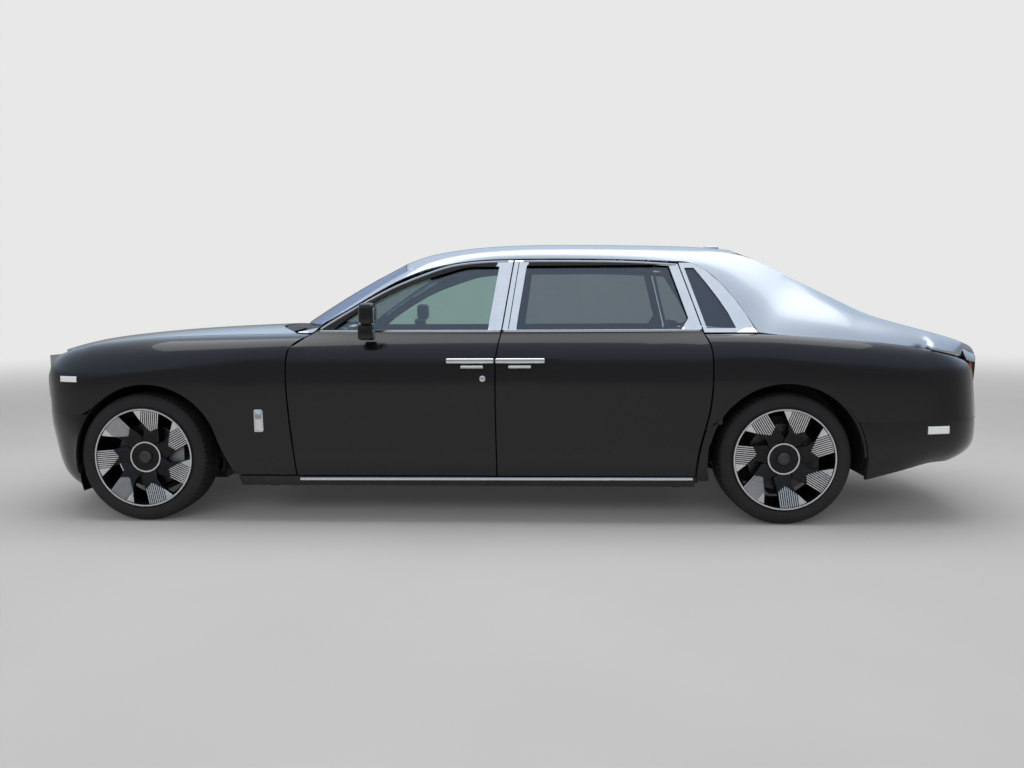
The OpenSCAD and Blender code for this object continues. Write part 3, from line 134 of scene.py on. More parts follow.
class Shader:
    """The nodes of a material, or of the world when one is given."""

    def __init__(self, name, world=None):
        self.owner = world or bpy.data.materials.new(name)
        self.owner.use_nodes = True
        self.tree = self.owner.node_tree
        self.tree.nodes.clear()
        self.end = self.tree.nodes.new("ShaderNodeOutput" + ("World" if world else "Material"))

    def feed(self, socket, value):
        if isinstance(value, Value):
            self.tree.links.new(value.socket, socket)
        else:
            socket.default_value = value

    def node(self, kind, settings=None, inputs=None, output=0):
        made = self.tree.nodes.new("ShaderNode" + kind)
        for key, value in (settings or {}).items():
            if key == "stops":
                ramp = made.color_ramp
                while len(ramp.elements) < len(value):
                    ramp.elements.new(0.5)
                for element, (place, colour) in zip(ramp.elements, value):
                    element.position = place
                    element.color = colour
            else:
                setattr(made, key, value)
        for key, value in (inputs or {}).items():
            self.feed(made.inputs[key], value)
        return Value(self, made.outputs[output])

    def maths(self, operation, *values):
        return self.node("Math", {"operation": operation}, dict(enumerate(values)))

    def place(self):
        """The piece's own coordinates, so a finish stays on it when it moves."""
        return self.node("TexCoord", output="Object")

    def noise(self, scale, detail=2.0):
        return self.node("TexNoise", None, {"Vector": self.place(), "Scale": scale,
                                            "Detail": detail})

    def mix_colour(self, factor, first, second):
        return self.node("Mix", {"data_type": "RGBA"},
                         {"Factor": factor, 6: first, 7: second}, output=2)

    def bump(self, height, strength=0.1, distance=0.001):
        return self.node("Bump", None, {"Height": height, "Strength": strength,
                                        "Distance": distance})

    def finish(self, shade):
        self.tree.links.new(shade.socket, self.end.inputs["Surface"])
        return self.owner

    def surface(self, **sockets):
        """Principled surface; names such as Base_Color stand for Base Color."""
        inputs = {key.replace("_", " "): value for key, value in sockets.items()}
        return self.finish(self.node("BsdfPrincipled", None, inputs))


def grey(value):
    return (value, value, value, 1)


print("shader classes ready")

# %% [markdown]
# ## The studio
# Paint and chrome show what stands round the car, more than their own colour. A pale floor, a
# pale backdrop far behind and large soft lamps overhead light the car. Reflections see an open
# sky: dark just over the horizon and a pale blue above it, which is what draws the shoulder of
# a black car. The backdrop's brightness comes only from what the camera sees.

# %% Floor
bpy.ops.object.select_all(action="DESELECT")
bpy.ops.mesh.primitive_plane_add(size=900, location=(0, 0, 0))
floor = bpy.context.object
floor.name = "floor"
BACKDROP = (0.80, 0.81, 0.80, 1)
floor_shader = Shader("studio_floor")
lit = floor_shader.node("BsdfDiffuse", None, {
    "Color": floor_shader.mix_colour(floor_shader.noise(0.8, 5), grey(0.62), grey(0.70))})
pale = floor_shader.node("Emission", None, {"Color": BACKDROP, "Strength": 1.0})
distance = floor_shader.node("VectorMath", {"operation": "LENGTH"}, {0: floor_shader.place()},
                             output="Value")
far = floor_shader.node("MapRange", {"interpolation_type": "SMOOTHSTEP"},
                        {"Value": distance, "From Min": 4.0, "From Max": 22.0, "To Min": 0.04,
                         "To Max": 1.0})
seen_share = floor_shader.node("LightPath", output="Is Camera Ray") * far
floor.data.materials.append(floor_shader.finish(
    floor_shader.node("MixShader", None, {"Fac": seen_share, 1: lit, 2: pale})))
floor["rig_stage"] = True

# %% World and lamps
SCENE.world = bpy.data.worlds.new("studio")
air = Shader("studio", SCENE.world)


def ray(kind):
    return air.node("LightPath", output=f"Is {kind} Ray")


SKY = ((0.0, (0.28, 0.28, 0.27, 1)), (0.06, (0.23, 0.24, 0.22, 1)), (0.12, (0.32, 0.37, 0.42, 1)),
       (0.22, (0.52, 0.63, 0.80, 1)), (0.55, (0.62, 0.74, 0.92, 1)), (1.0, (0.80, 0.87, 0.95, 1)))
height = air.node("SeparateXYZ", None, {"Vector": air.node("TexCoord", output="Generated")}, "Z")
sky = air.node("ValToRGB", {"stops": SKY}, {"Fac": height})
plain, mirrored, seen = (air.node("Background", None, {"Color": colour, "Strength": strength})
                         for colour, strength in ((grey(0.82), 0.45), (sky, 1.0), (BACKDROP, 1.0)))
unseen = air.node("MixShader", None, {"Fac": ray("Glossy"), 1: plain, 2: mirrored})
straight = air.maths("MAXIMUM", ray("Camera"), ray("Transmission"))
air.finish(air.node("MixShader", None, {"Fac": straight, 1: unseen, 2: seen}))

SCENE.view_settings.view_transform = "Standard"


def soft_lamp(name, place, aim, size, power, mirrored=True):
    lamp = bpy.data.objects.new(name, bpy.data.lights.new(name, "AREA"))
    SCENE.collection.objects.link(lamp)
    lamp.data.shape = "RECTANGLE"
    lamp.data.size, lamp.data.size_y = size
    lamp.data.energy = power
    lamp.location = place
    lamp.rotation_euler = (Vector(aim) - Vector(place)).to_track_quat("-Z", "Y").to_euler()
    lamp.visible_glossy = mirrored


soft_lamp("lamp_over", (0, 0, 6.0), (0, 0, 0.8), (10, 5), 260)
soft_lamp("lamp_left", (-1, -9, 4.5), (0, 0, 0.7), (8, 2.5), 170, False)
soft_lamp("lamp_right", (1, 9, 4.5), (0, 0, 0.7), (8, 2.5), 140, False)
print("studio ready")

# %% [markdown]
# ## Paint, chrome and glass
# Car paint is a thin colour layer under a clear coat. The coat gives the sharp reflection, the
# flakes below it give the silver its grain, and a wide faint noise in the roughness stands for
# the film of dust that every parked car carries.

# %% Paint materials
def paint(name, dark, light, metal, rough, coat_index, grain=900):
    shader = Shader(name)
    flakes = shader.noise(grain, 1)
    film = shader.noise(2.5, 4)
    return shader.surface(Base_Color=shader.mix_colour(flakes, dark, light), Metallic=metal,
                          Roughness=film * 0.08 + rough, Coat_Weight=1.0, Coat_Roughness=0.015,
                          Coat_IOR=coat_index, Specular_IOR_Level=0.15)


BLACK = paint("gloss_black", (0.003, 0.003, 0.0035, 1), (0.009, 0.009, 0.011, 1), 0.0, 0.24, 1.38)
SILVER = paint("silver_paint", (0.40, 0.44, 0.49, 1), (0.54, 0.58, 0.63, 1), 0.85, 0.3, 1.5, 1400)
print("paint:", BLACK.name, SILVER.name)


# %% Metal materials
def metal(name, dark, light, rough, spread=0.08, grain=18, pits=0.0):
    shader = Shader(name)
    cloud = shader.noise(grain, 4)
    settings = dict(Base_Color=shader.mix_colour(cloud, dark, light), Metallic=1.0,
                    Roughness=cloud * spread + rough)
    if pits:
        settings["Normal"] = shader.bump(shader.noise(grain * 25, 2), pits, 0.0006)
    return shader.surface(**settings)


CHROME = metal("chrome", (0.72, 0.73, 0.75, 1), (0.86, 0.87, 0.88, 1), 0.03, 0.06)
MACHINED = metal("machined_face", (0.62, 0.62, 0.63, 1), (0.85, 0.85, 0.86, 1), 0.22, 0.12, 60, 0.05)
SATIN = metal("wheel_satin", (0.020, 0.020, 0.021, 1), (0.045, 0.044, 0.043, 1), 0.38, 0.14, 40, 0.04)
DISC = metal("brake_disc", (0.05, 0.048, 0.045, 1), (0.12, 0.115, 0.11, 1), 0.34, 0.2, 30, 0.1)
CAST = metal("cast_alloy", (0.30, 0.30, 0.31, 1), (0.46, 0.46, 0.47, 1), 0.42, 0.2, 20, 0.3)
MIRROR = metal("mirror_glass", (0.80, 0.82, 0.84, 1), (0.84, 0.86, 0.88, 1), 0.01, 0.02)
print("metals ready")


# %% Plastic, rubber and painted steel
def dull(name, dark, light, rough, grain=120, depth=0.2, sheen=0.3):
    shader = Shader(name)
    cloud = shader.noise(9, 4)
    return shader.surface(Base_Color=shader.mix_colour(cloud, dark, light),
                          Roughness=cloud * 0.12 + rough, Specular_IOR_Level=sheen,
                          Normal=shader.bump(shader.noise(grain, 3), depth, 0.0006))


TRIM = dull("black_trim", (0.010, 0.010, 0.010, 1), (0.024, 0.024, 0.025, 1), 0.45, 900, 0.3)
UNDERSEAL = dull("dark_steel", (0.022, 0.022, 0.024, 1), (0.05, 0.05, 0.052, 1), 0.5, 250, 0.35)
SEAL = dull("rubber_seal", (0.006, 0.006, 0.006, 1), (0.012, 0.012, 0.012, 1), 0.6, 500, 0.15)
RUBBER = dull("tyre", (0.012, 0.012, 0.012, 1), (0.028, 0.027, 0.026, 1), 0.62, 420, 0.35)
CARPET = dull("carpet", (0.03, 0.02, 0.014, 1), (0.07, 0.045, 0.03, 1), 0.9, 1500, 0.8, 0.1)
PLATE = dull("blank_plate", (0.62, 0.62, 0.6, 1), (0.7, 0.7, 0.68, 1), 0.35, 700, 0.05)
print("dull finishes ready")


# %% Leather
def leather(name, dark, light):
    """Fine grain from cells, with soft blotches where hands and clothes polish the hide."""
    shader = Shader(name)
    blotch = shader.noise(6, 3)
    cells = shader.node("TexVoronoi", {"feature": "DISTANCE_TO_EDGE"},
                        {"Vector": shader.place(), "Scale": 420.0})
    return shader.surface(Base_Color=shader.mix_colour(blotch, dark, light),
                          Roughness=blotch * 0.15 + 0.38, Specular_IOR_Level=0.35,
                          Normal=shader.bump(cells * 1.5 + shader.noise(90, 3) * 0.5, 0.35, 0.0007))


HIDE = leather("leather_tan", (0.17, 0.072, 0.026, 1), (0.26, 0.12, 0.05, 1))
HIDE_DARK = leather("leather_dark", (0.016, 0.012, 0.010, 1), (0.03, 0.024, 0.02, 1))
print("leather ready")


# %% Glass
def glass(name, tint, base_mirror=0.04, rough=0.0):
    """A clear tinted pane: a see-through colour and a mirror, shared out by the view angle."""
    shader = Shader(name)
    clear = shader.node("BsdfTransparent", None, {"Color": tint})
    wave = shader.bump(shader.noise(3, 2), 0.02, 0.002)
    mirror = shader.node("BsdfGlossy", None, {"Color": (0.76, 0.83, 1.0, 1), "Roughness": rough,
                                              "Normal": wave})
    turn = shader.node("LayerWeight", None, {"Blend": 0.5}, output=1)
    share = turn * turn * turn * 0.7 + base_mirror
    return shader.finish(shader.node("MixShader", None, {"Fac": share, 1: clear, 2: mirror}))


TINTED = glass("tinted_glass", (0.58, 0.61, 0.60, 1), 0.085)
SCREEN = glass("front_glass", (0.69, 0.775, 0.735, 1), 0.08)
LENS = glass("lamp_clear", (0.88, 0.90, 0.92, 1), 0.08, 0.02)
print("glass ready")


# %% Lamp materials
def lamp_body(name, dark, light, glow, strength):
    """A moulded lamp cover with fine ribs that catch the light."""
    shader = Shader(name)
    ribs = shader.node("TexWave", {"wave_type": "BANDS", "bands_direction": "Z"},
                       {"Vector": shader.place(), "Scale": 60.0, "Distortion": 0.2})
    return shader.surface(Base_Color=shader.mix_colour(ribs, dark, light),
                          Roughness=ribs * 0.05 + 0.08, Coat_Weight=1.0, Emission_Color=glow,
                          Emission_Strength=strength, Normal=shader.bump(ribs, 0.3, 0.001))


RED = lamp_body("lamp_red", (0.20, 0.002, 0.002, 1), (0.42, 0.010, 0.008, 1), (1, 0.02, 0.01, 1), 0.03)
WHITE = lamp_body("lamp_white", (0.72, 0.74, 0.76, 1), (0.9, 0.91, 0.92, 1), (1, 1, 1, 1), 0.12)
print("lamps ready")

# %% [markdown]
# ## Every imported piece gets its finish
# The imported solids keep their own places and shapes. Those that stay in the picture take one of
# the materials above; the panels that need a rounder shape are copied further down.

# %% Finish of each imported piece
FINISH = {
    UNDERSEAL: "floor_pan side_frames bulkhead front_axle rear_axle",
    TRIM: "underside steering_wheel", CAST: "engine knuckle_left knuckle_right",
    CHROME: "grille window_surrounds", LENS: "headlamps", RED: "tail_lamps",
    TINTED: "fixed_glass rear_window_left rear_window_right",
    SCREEN: "front_window_left front_window_right", HIDE_DARK: "dashboard", HIDE: "seats",
    SILVER: "roof_panel body_sides bonnet boot_lid",
    RUBBER: "tyre_front_left tyre_front_right tyre_rear_left tyre_rear_right",
    SATIN: "wheel_front_left wheel_front_right wheel_rear_left wheel_rear_right",
}
FINISH_OF = {name: material for material, names in FINISH.items() for name in names.split()}
for name, piece in NODES.items():
    piece.data.materials.clear()
    piece.data.materials.append(FINISH_OF.get(name, BLACK))
print("pieces with a finish:", len(NODES))

# %% [markdown]
# ## Smooth body panels
# A packed panel is a net of flat facets. A real pressing is one smooth sheet whose reflections
# flow without a break. So each panel is copied, its triangles are joined back to squares, the
# edges that are sharp on the car are creased, and a subdivision surface rounds all the rest.

# %% Helpers for copies
def alone(piece):
    """Selects one object and nothing else."""
    bpy.ops.object.select_all(action="DESELECT")
    piece.select_set(True)
    bpy.context.view_layer.objects.active = piece


def edit(piece, *steps):
    """Runs each mesh step in edit mode, with the whole piece selected before it."""
    alone(piece)
    bpy.ops.object.mode_set(mode="EDIT")
    for step in steps:
        bpy.ops.mesh.select_all(action="SELECT")
        step()
    bpy.ops.object.mode_set(mode="OBJECT")


def weld(gap=0.0003):
    bpy.ops.mesh.remove_doubles(threshold=gap)


def outward():
    bpy.ops.mesh.normals_make_consistent(inside=False)


def smooth(piece, angle):
    alone(piece)
    bpy.ops.object.shade_smooth_by_angle(angle=math.radians(angle))
    return piece


def apply_all(piece):
    alone(piece)
    for modifier in list(piece.modifiers):
        bpy.ops.object.modifier_apply(modifier=modifier.name)


def break_edges(piece, width, segments=2, angle=30, apply=True):
    """A bevel on every edge that is sharper than the angle in degrees."""
    edge = piece.modifiers.new("edge", "BEVEL")
    edge.width, edge.segments, edge.limit_method = width, segments, "ANGLE"
    edge.angle_limit = math.radians(angle)
    if apply:
        apply_all(piece)


def subdivide(piece, levels):
    fine = piece.modifiers.new("smooth", "SUBSURF")
    fine.levels = fine.render_levels = levels
    apply_all(piece)


def copy_of(node, title):
    piece = NODES[node].copy()
    piece.data = NODES[node].data.copy()
    piece.name = title
    piece.parent = None
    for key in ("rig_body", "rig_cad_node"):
        if key in piece:
            del piece[key]
    SCENE.collection.objects.link(piece)
    return piece


def largest_part(piece):
    """Keeps the biggest loose part of a mesh and deletes the rest."""
    title = piece.name
    edit(piece, weld)
    bpy.ops.mesh.separate(type="LOOSE")
    parts = sorted(bpy.context.selected_objects, key=lambda part: -max(part.dimensions))
    for part in parts[1:]:
        bpy.data.objects.remove(part)
    parts[0].name = title
    return parts[0]


SHARP = 34


def crease_sharp():
    """Joins triangles back to squares and creases the edges that are sharp on the car."""
    bpy.ops.mesh.select_mode(type="VERT")
    weld()
    bpy.ops.mesh.tris_convert_to_quads(face_threshold=math.radians(30),
                                       shape_threshold=math.radians(80))
    bpy.ops.mesh.select_all(action="DESELECT")
    bpy.ops.mesh.select_mode(type="EDGE")
    bpy.ops.mesh.edges_select_sharp(sharpness=math.radians(SHARP))
    bpy.ops.transform.edge_crease(value=1.0)
    bpy.ops.mesh.select_mode(type="FACE")


def round_off(piece):
    """Squares, creases and a subdivision surface."""
    edit(piece, crease_sharp)
    subdivide(piece, 2)
    smooth(piece, SHARP)


def dress(piece, body, slot_name, *materials):
    """Materials and body of a finished piece; its slot name is not used."""
    piece.data.materials.clear()
    for material in materials:
        piece.data.materials.append(material)
    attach(piece, body)
    return piece


def colour_faces(piece, choose):
    """Gives each face the material number that choose(middle, normal) returns."""
    for face in piece.data.polygons:
        face.material_index = choose(face.center, face.normal)


print("copy helpers ready")


# %% Lines of the body, as in the part
def smooth_line(points, x):
    """Smooth curve through a list of pairs, the same as the part's own."""
    last = len(points) - 1

    def slope(i):
        a, b = max(i - 1, 0), min(i + 1, last)
        return (points[b][1] - points[a][1]) / (points[b][0] - points[a][0])

    if x <= points[0][0]:
        return points[0][1] + slope(0) * (x - points[0][0])
    if x >= points[last][0]:
        return points[last][1] + slope(last) * (x - points[last][0])
    i = max(k for k in range(last) if points[k][0] <= x)
    h = points[i + 1][0] - points[i][0]
    u = (x - points[i][0]) / h
    return ((2 * u ** 3 - 3 * u * u + 1) * points[i][1] + (u ** 3 - 2 * u * u + u) * h * slope(i)
            + (3 * u * u - 2 * u ** 3) * points[i + 1][1] + (u ** 3 - u * u) * h * slope(i + 1))


DRIP = [(-1.195, 1.121), (-1.086, 1.124), (-1.062, 1.152), (-1.035, 1.180), (-0.876, 1.266),
        (-0.717, 1.366), (-0.560, 1.450), (-0.404, 1.508), (-0.248, 1.540), (-0.094, 1.556),
        (0.094, 1.560), (0.495, 1.558), (0.859, 1.548), (1.070, 1.538), (1.140, 1.536)]
WINDOW_LOW = 1.139

print("drip line height over the middle pillar:", round(smooth_line(DRIP, 0.06), 3))

# %% [markdown]
# ### Doors
# A coach door has a painted skin, bright metal round its window, rubber in the reveal and hide
# on the inside. One copy of the solid carries all four, told apart by where a face looks.

# %% Doors
SKINS = {}
for side in ("left", "right"):
    out = -1 if side == "left" else 1
    for end in ("front", "rear"):
        node = f"{end}_door_{side}"
        door = largest_part(copy_of(node, node + "_skin"))
        round_off(door)
        dress(door, node, "gloss_black", BLACK, CHROME, SEAL, HIDE)

        def door_finish(middle, normal, end=end, out=out):
            if normal.y * out > 0.35:
                if middle.z < WINDOW_LOW - 0.002:
                    return 0
                if end == "front":
                    plate = middle.x > -0.100 + (middle.z - WINDOW_LOW) * 0.235
                else:
                    plate = (middle.x < 0.172 + (middle.z - WINDOW_LOW) * 0.05
                             or middle.x > 1.070 - (middle.z - WINDOW_LOW) * 0.12)
                return 1 if plate else 2
            if middle.z > WINDOW_LOW - 0.002:
                return 2
            if normal.y * out < -0.5:
                return 3
            return 0

        colour_faces(door, door_finish)
        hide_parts(node)
        SKINS[node] = door
print("doors:", sorted(SKINS))

# %% Painted fixed panels
for node in ("front_wing_left", "front_wing_right", "quarter_left", "quarter_right",
             "front_bumper", "rear_bumper"):
    panel = copy_of(node, node + "_skin")
    round_off(panel)
    dress(panel, "body", "gloss_black", BLACK)
    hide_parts(node)
    SKINS[node] = panel
print("painted panels:", len(SKINS))

# %% [markdown]
# The boot lid is silver above and black below a level line. A bisect adds that edge to the copy,
# so whole faces lie on one side of it. The silver side tucks its lower edge in behind the black
# quarter panel, which then draws the line between the two paints.

# %% Silver panels
BOOT_LINE = 0.925
SHOULDER = [(2.401, 1.031), (2.488, 1.013), (2.591, 0.985), (2.698, 0.962), (2.790, 0.944)]
TUCK, TUCK_FROM = 0.030, 2.41


for node in ("roof_panel", "body_sides", "bonnet", "boot_lid"):
    panel = copy_of(node, node + "_skin")
    round_off(panel)
    dress(panel, node if node in ("bonnet", "boot_lid") else "body", "silver_paint",
          SILVER, SEAL, BLACK)
    if node == "body_sides":
        for vertex in panel.data.vertices:
            x, y, z = vertex.co
            if x > TUCK_FROM and abs(y) > 0.5 and z < smooth_line(SHOULDER, x) + 0.003:
                vertex.co.y -= math.copysign(TUCK, y)
        colour_faces(panel, lambda middle, normal: 1 if middle.x < 1.1
                     and middle.z < smooth_line(DRIP, middle.x) - 0.004 else 0)
    elif node == "boot_lid":
        edit(panel, lambda: bpy.ops.mesh.bisect(plane_co=(0, 0, BOOT_LINE), plane_no=(0, 0, 1)))
        colour_faces(panel, lambda middle, normal: 2 if middle.z < BOOT_LINE else 0)
    else:
        colour_faces(panel, lambda middle, normal: 1 if normal.z < -0.3 else 0)
    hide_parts(node)
    SKINS[node] = panel
print("silver panels done")

# %% [markdown]
# ## Wheels
# Each wheel is a dark cast disc of seven spokes. A lathe cut only the outer end of every spoke
# bright: nine fine lines that run along it, and one plain triangle beside them. The shape is
# turned and extruded once, at the origin with its outer face towards -Y, then copied four times.

# %% Helpers for turned and cut shapes
TYRE_RADIUS = 0.385
AXLES = (("front", 0.255, 80, -2.111, 0.8345), ("rear", 0.285, 71, 1.661, 0.8195))


def from_outline(name, points, closed=False):
    """An object from a chain of points, or from loose points, as a start for a mesh step."""
    mesh = bpy.data.meshes.new(name)
    chain = [] if closed else [(i, i + 1) for i in range(len(points) - 1)]
    mesh.from_pydata([tuple(p) for p in points], chain, [])
    piece = bpy.data.objects.new(name, mesh)
    SCENE.collection.objects.link(piece)
    return piece


def outline_face(name, points):
    """One flat face with a corner at each point."""
    bpy.ops.object.select_all(action="DESELECT")
    bpy.ops.mesh.primitive_circle_add(vertices=len(points), radius=0.01, fill_type="NGON")
    piece = bpy.context.object
    piece.name = name
    for vertex, point in zip(piece.data.vertices, points):
        vertex.co = point
    return piece


def turned(name, profile, steps=96, angle=30, material=None):
    """Spins a profile of (radius, y) pairs round the Y axis; a profile that ends on itself
    makes a ring."""
    piece = from_outline(name, [(r, y, 0) for r, y in profile])
    edit(piece, lambda: bpy.ops.mesh.spin(steps=steps, angle=2 * math.pi, center=(0, 0, 0),
                                          axis=(0, 1, 0)), lambda: weld(0.00005), outward)
    if material:
        piece.data.materials.append(material)
    return smooth(piece, angle)


def push_out(vector):
    bpy.ops.mesh.extrude_region_move(TRANSFORM_OT_translate={"value": vector})


def cut_plate(name, outline, push, bevel=0.0, segments=2, material=None):
    """A flat outline, filled, extruded by the vector push and given broken edges."""
    piece = outline_face(name, outline)
    edit(piece, lambda: push_out(push), outward)
    if bevel:
        break_edges(piece, bevel, segments, 35)
    if material:
        piece.data.materials.append(material)
    return smooth(piece, 35)


def joined(name, pieces):
    bpy.ops.object.select_all(action="DESELECT")
    for piece in pieces:
        piece.select_set(True)
    bpy.context.view_layer.objects.active = pieces[0]
    bpy.ops.object.join()
    pieces[0].name = name
    return pieces[0]


def moved_copy(piece, name, matrix):
    """A copy with its own mesh, moved by a matrix that stays in the mesh."""
    twin = piece.copy()
    twin.data = piece.data.copy()
    twin.name = name
    SCENE.collection.objects.link(twin)
    twin.data.transform(matrix)
    if matrix.determinant() < 0:
        twin.data.flip_normals()
    return twin


print("turning helpers ready")

# %% One spoke with its bright end
RIM = 0.294
DISH = 0.032
SPOKES = 7


def on_spoke(along, across, front, half):
    """Point on the spoke's sloping face; 1.0 along is the rim, front is height above it."""
    sink = DISH * (0.972 - along) / 0.702
    return Vector((along * RIM, -half + 0.008 + sink - front, across * RIM))


def bright(corners, half):
    """A thin machined face that stands just above the spoke."""
    return cut_plate("line", [on_spoke(a, b, 0.0012, half) for a, b in corners],
                     Vector((0, 0.002, 0)), 0.0004, 1, MACHINED)


def spoke_set(half):
    rim_arc = [(0.972 * math.cos(math.radians(a)), 0.972 * math.sin(math.radians(a)))
               for a in (-10.8, -4, 3, 10.5, 16, 22)]
    body = rim_arc + [(0.708, 0.177), (0.50, 0.095), (0.42, 0.112), (0.27, 0.13), (0.27, -0.13),
                      (0.36, -0.236), (0.632, -0.192)]
    pieces = [cut_plate("spoke", [on_spoke(a, b, 0, half) for a, b in body],
                        Vector((0, 0.030, 0)), 0.003, material=SATIN)]
    for line in range(9):
        across = -0.166 + line * 0.0405
        inner = 0.632 - (across + 0.19) * 0.66 if across < -0.03 else 0.527 + (across + 0.03) * 0.85
        outer = math.sqrt(0.972 ** 2 - across ** 2)
        low, high = across - 0.0105, across + 0.0105
        inner += 0.012
        pieces.append(bright(((inner, low), (outer, low), (outer, high), (inner, high)), half))
    pieces.append(bright(((0.953, 0.187), (0.930, 0.275), (0.903, 0.352), (0.722, 0.187)), half))
    return joined("spoke_set", pieces)


print("spoke ready")


# %% A whole wheel
def wheel(name, width, first_angle):
    half = width / 2
    lip = [(0.2937, -half + 0.026), (0.301, -half + 0.009), (0.301, -half + 0.004),
           (0.296, -half + 0.0025), (0.284, -half + 0.004), (0.281, -half + 0.012),
           (0.277, -half + 0.030), (0.266, -half + 0.062), (0.264, half - 0.04), (0.280, half - 0.012),
           (0.300, half - 0.006), (0.301, half - 0.009), (0.2937, half - 0.026),
           (0.279, half - 0.05), (0.275, -half + 0.065), (0.2937, -half + 0.026)]
    hub_y = -half + 0.008 + DISH
    disc_y = -half + 0.100
    parts = [turned(title, profile, count, 30, material) for title, count, material, profile in (
        ("barrel", 96, SATIN, lip),
        ("rim_ring", 96, MACHINED, [
            (0.2935, -half + 0.0015), (0.2935, -half + 0.0045), (0.2855, -half + 0.0045),
            (0.2855, -half + 0.0015), (0.2935, -half + 0.0015)]),
        ("hub", 96, SATIN, [
            (0.0, hub_y - 0.0145), (0.036, hub_y - 0.014), (0.041, hub_y - 0.011),
            (0.043, hub_y - 0.006), (0.084, hub_y - 0.006), (0.090, hub_y - 0.004),
            (0.094, hub_y + 0.004), (0.094, hub_y + 0.06), (0.0, hub_y + 0.06)]),
        ("cap_ring", 96, MACHINED, [
            (0.084, hub_y - 0.0085), (0.092, hub_y - 0.0085), (0.092, hub_y - 0.004),
            (0.084, hub_y - 0.004), (0.084, hub_y - 0.0085)]),
        ("cap", 64, DISC, [
            (0.0, hub_y - 0.019), (0.018, hub_y - 0.0185), (0.030, hub_y - 0.017),
            (0.035, hub_y - 0.014), (0.0, hub_y - 0.012)]),
        ("brake_disc", 96, DISC, [
            (0.09, disc_y), (0.196, disc_y), (0.196, disc_y + 0.013), (0.19, disc_y + 0.013),
            (0.19, disc_y + 0.021), (0.196, disc_y + 0.021), (0.196, disc_y + 0.034),
            (0.036, disc_y + 0.034), (0.036, disc_y + 0.02), (0.09, disc_y)]))]
    one = spoke_set(half)
    for index in range(SPOKES):
        turn = Matrix.Rotation(-math.radians(first_angle + index * 360 / SPOKES), 4, "Y")
        parts.append(moved_copy(one, "spoke_copy", turn))
    bpy.data.objects.remove(one)
    return joined(name, parts)


WHEEL_PLACES = {}
for end, width, angle, x, y in AXLES:
    master = wheel("wheel_master", width, angle)
    for side, out in (("left", -1), ("right", 1)):
        name = f"wheel_{end}_{side}"
        place = Matrix.Translation((x, out * y, TYRE_RADIUS))
        if out > 0:
            place = place @ Matrix.Rotation(math.pi, 4, "Z")
        WHEEL_PLACES[name] = place
        copy = moved_copy(master, name + "_spoked", place)
        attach(copy, name)
        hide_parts(name)
    bpy.data.objects.remove(master)
print("wheels:", len(WHEEL_PLACES))

# %% [markdown]
# ## Tyres
# A road tyre has ribs between round grooves, narrow cross cuts in the ribs and a plain side with
# a few raised rings. The outline is turned in many narrow steps, and the cross cuts come from
# lowering one thin slice of each pitch.

# %% Tyre
PITCHES = 72


def tyre(name, width):
    half, r = width / 2, TYRE_RADIUS
    tread = []
    groove_at = (0.024, 0.066) if width < 0.27 else (0.026, 0.074)
    for y in (0.0, groove_at[0] - 0.0045, groove_at[0] + 0.0045, groove_at[1] - 0.0045,
              groove_at[1] + 0.0045, half - 0.034):
        drop = 0.003 * (y / (half - 0.034)) ** 2
        tread.append((y, r - drop))
    side = [(half - 0.020, r - 0.008), (half - 0.012, r - 0.014), (half - 0.005, r - 0.026),
            (half, r - 0.040), (half + 0.0008, r - 0.044), (half + 0.0008, r - 0.047),
            (half - 0.0002, r - 0.050), (half - 0.0008, r - 0.062), (half - 0.0004, 0.3215),
            (half - 0.0020, 0.3195), (half - 0.003, 0.314), (half - 0.008, 0.3025),
            (half - 0.012, 0.2985), (half - 0.026, 0.2945)]
    outer = [tread[0]]
    for k in (1, 3):
        y0, r0 = tread[k]
        y1, r1 = tread[k + 1]
        outer += [(y0, r0), (y0 + 0.0012, r0 - 0.0075), (y1 - 0.0012, r1 - 0.0075), (y1, r1)]
    outer.append(tread[5])
    outer += side
    profile = [(rad, -y) for y, rad in reversed(outer)] + [(rad, y) for y, rad in outer[1:]]
    profile.append(profile[0])
    piece = turned(name, profile, PITCHES * 4, 32, RUBBER)
    step = 2 * math.pi / (PITCHES * 4)
    places = (0.0, 0.00253, 0.00759, 0.01012)
    for vertex in piece.data.vertices:
        x, y, z = vertex.co
        radius = math.hypot(x, z)
        angle = math.atan2(-z, x) % (2 * math.pi)
        index = round(angle / step) % (PITCHES * 4)
        pitch, slot_index = divmod(index, 4)
        angle = pitch * 4 * step + places[slot_index]
        if slot_index in (1, 2) and radius > 0.374 and abs(y) > groove_at[1] + 0.006:
            radius -= 0.005
        vertex.co = Vector((radius * math.cos(angle), y, -radius * math.sin(angle)))
    return piece


for end, width, *_ in AXLES:
    master = tyre("tyre_master", width)
    for side in ("left", "right"):
        name = f"tyre_{end}_{side}"
        copy = moved_copy(master, name + "_tread", WHEEL_PLACES[name.replace("tyre", "wheel")])
        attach(copy, name.replace("tyre", "wheel"))
        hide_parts(name)
    print(end, "tyre triangles about", len(master.data.polygons) * 2)
    bpy.data.objects.remove(master)

# %% [markdown]
# ## Trim that follows the skin
# Bright strips, lamps and badges sit on curved metal. A ray sent in from the side finds where
# the skin is, and each strip is one small section extruded step by step along that line.

# %% Helpers for strips
TREES = {}


def skin_y(x, z, node):
    """Y of a left panel's outer face at one place, or None beside the panel."""
    if node not in TREES:
        mesh = SKINS[node].data
        TREES[node] = BVHTree.FromPolygons([v.co.copy() for v in mesh.vertices],
                                           [tuple(p.vertices) for p in mesh.polygons])
    place = TREES[node].ray_cast(Vector((x, -3, z)), Vector((0, 1, 0)))[0]
    return place.y if place else None


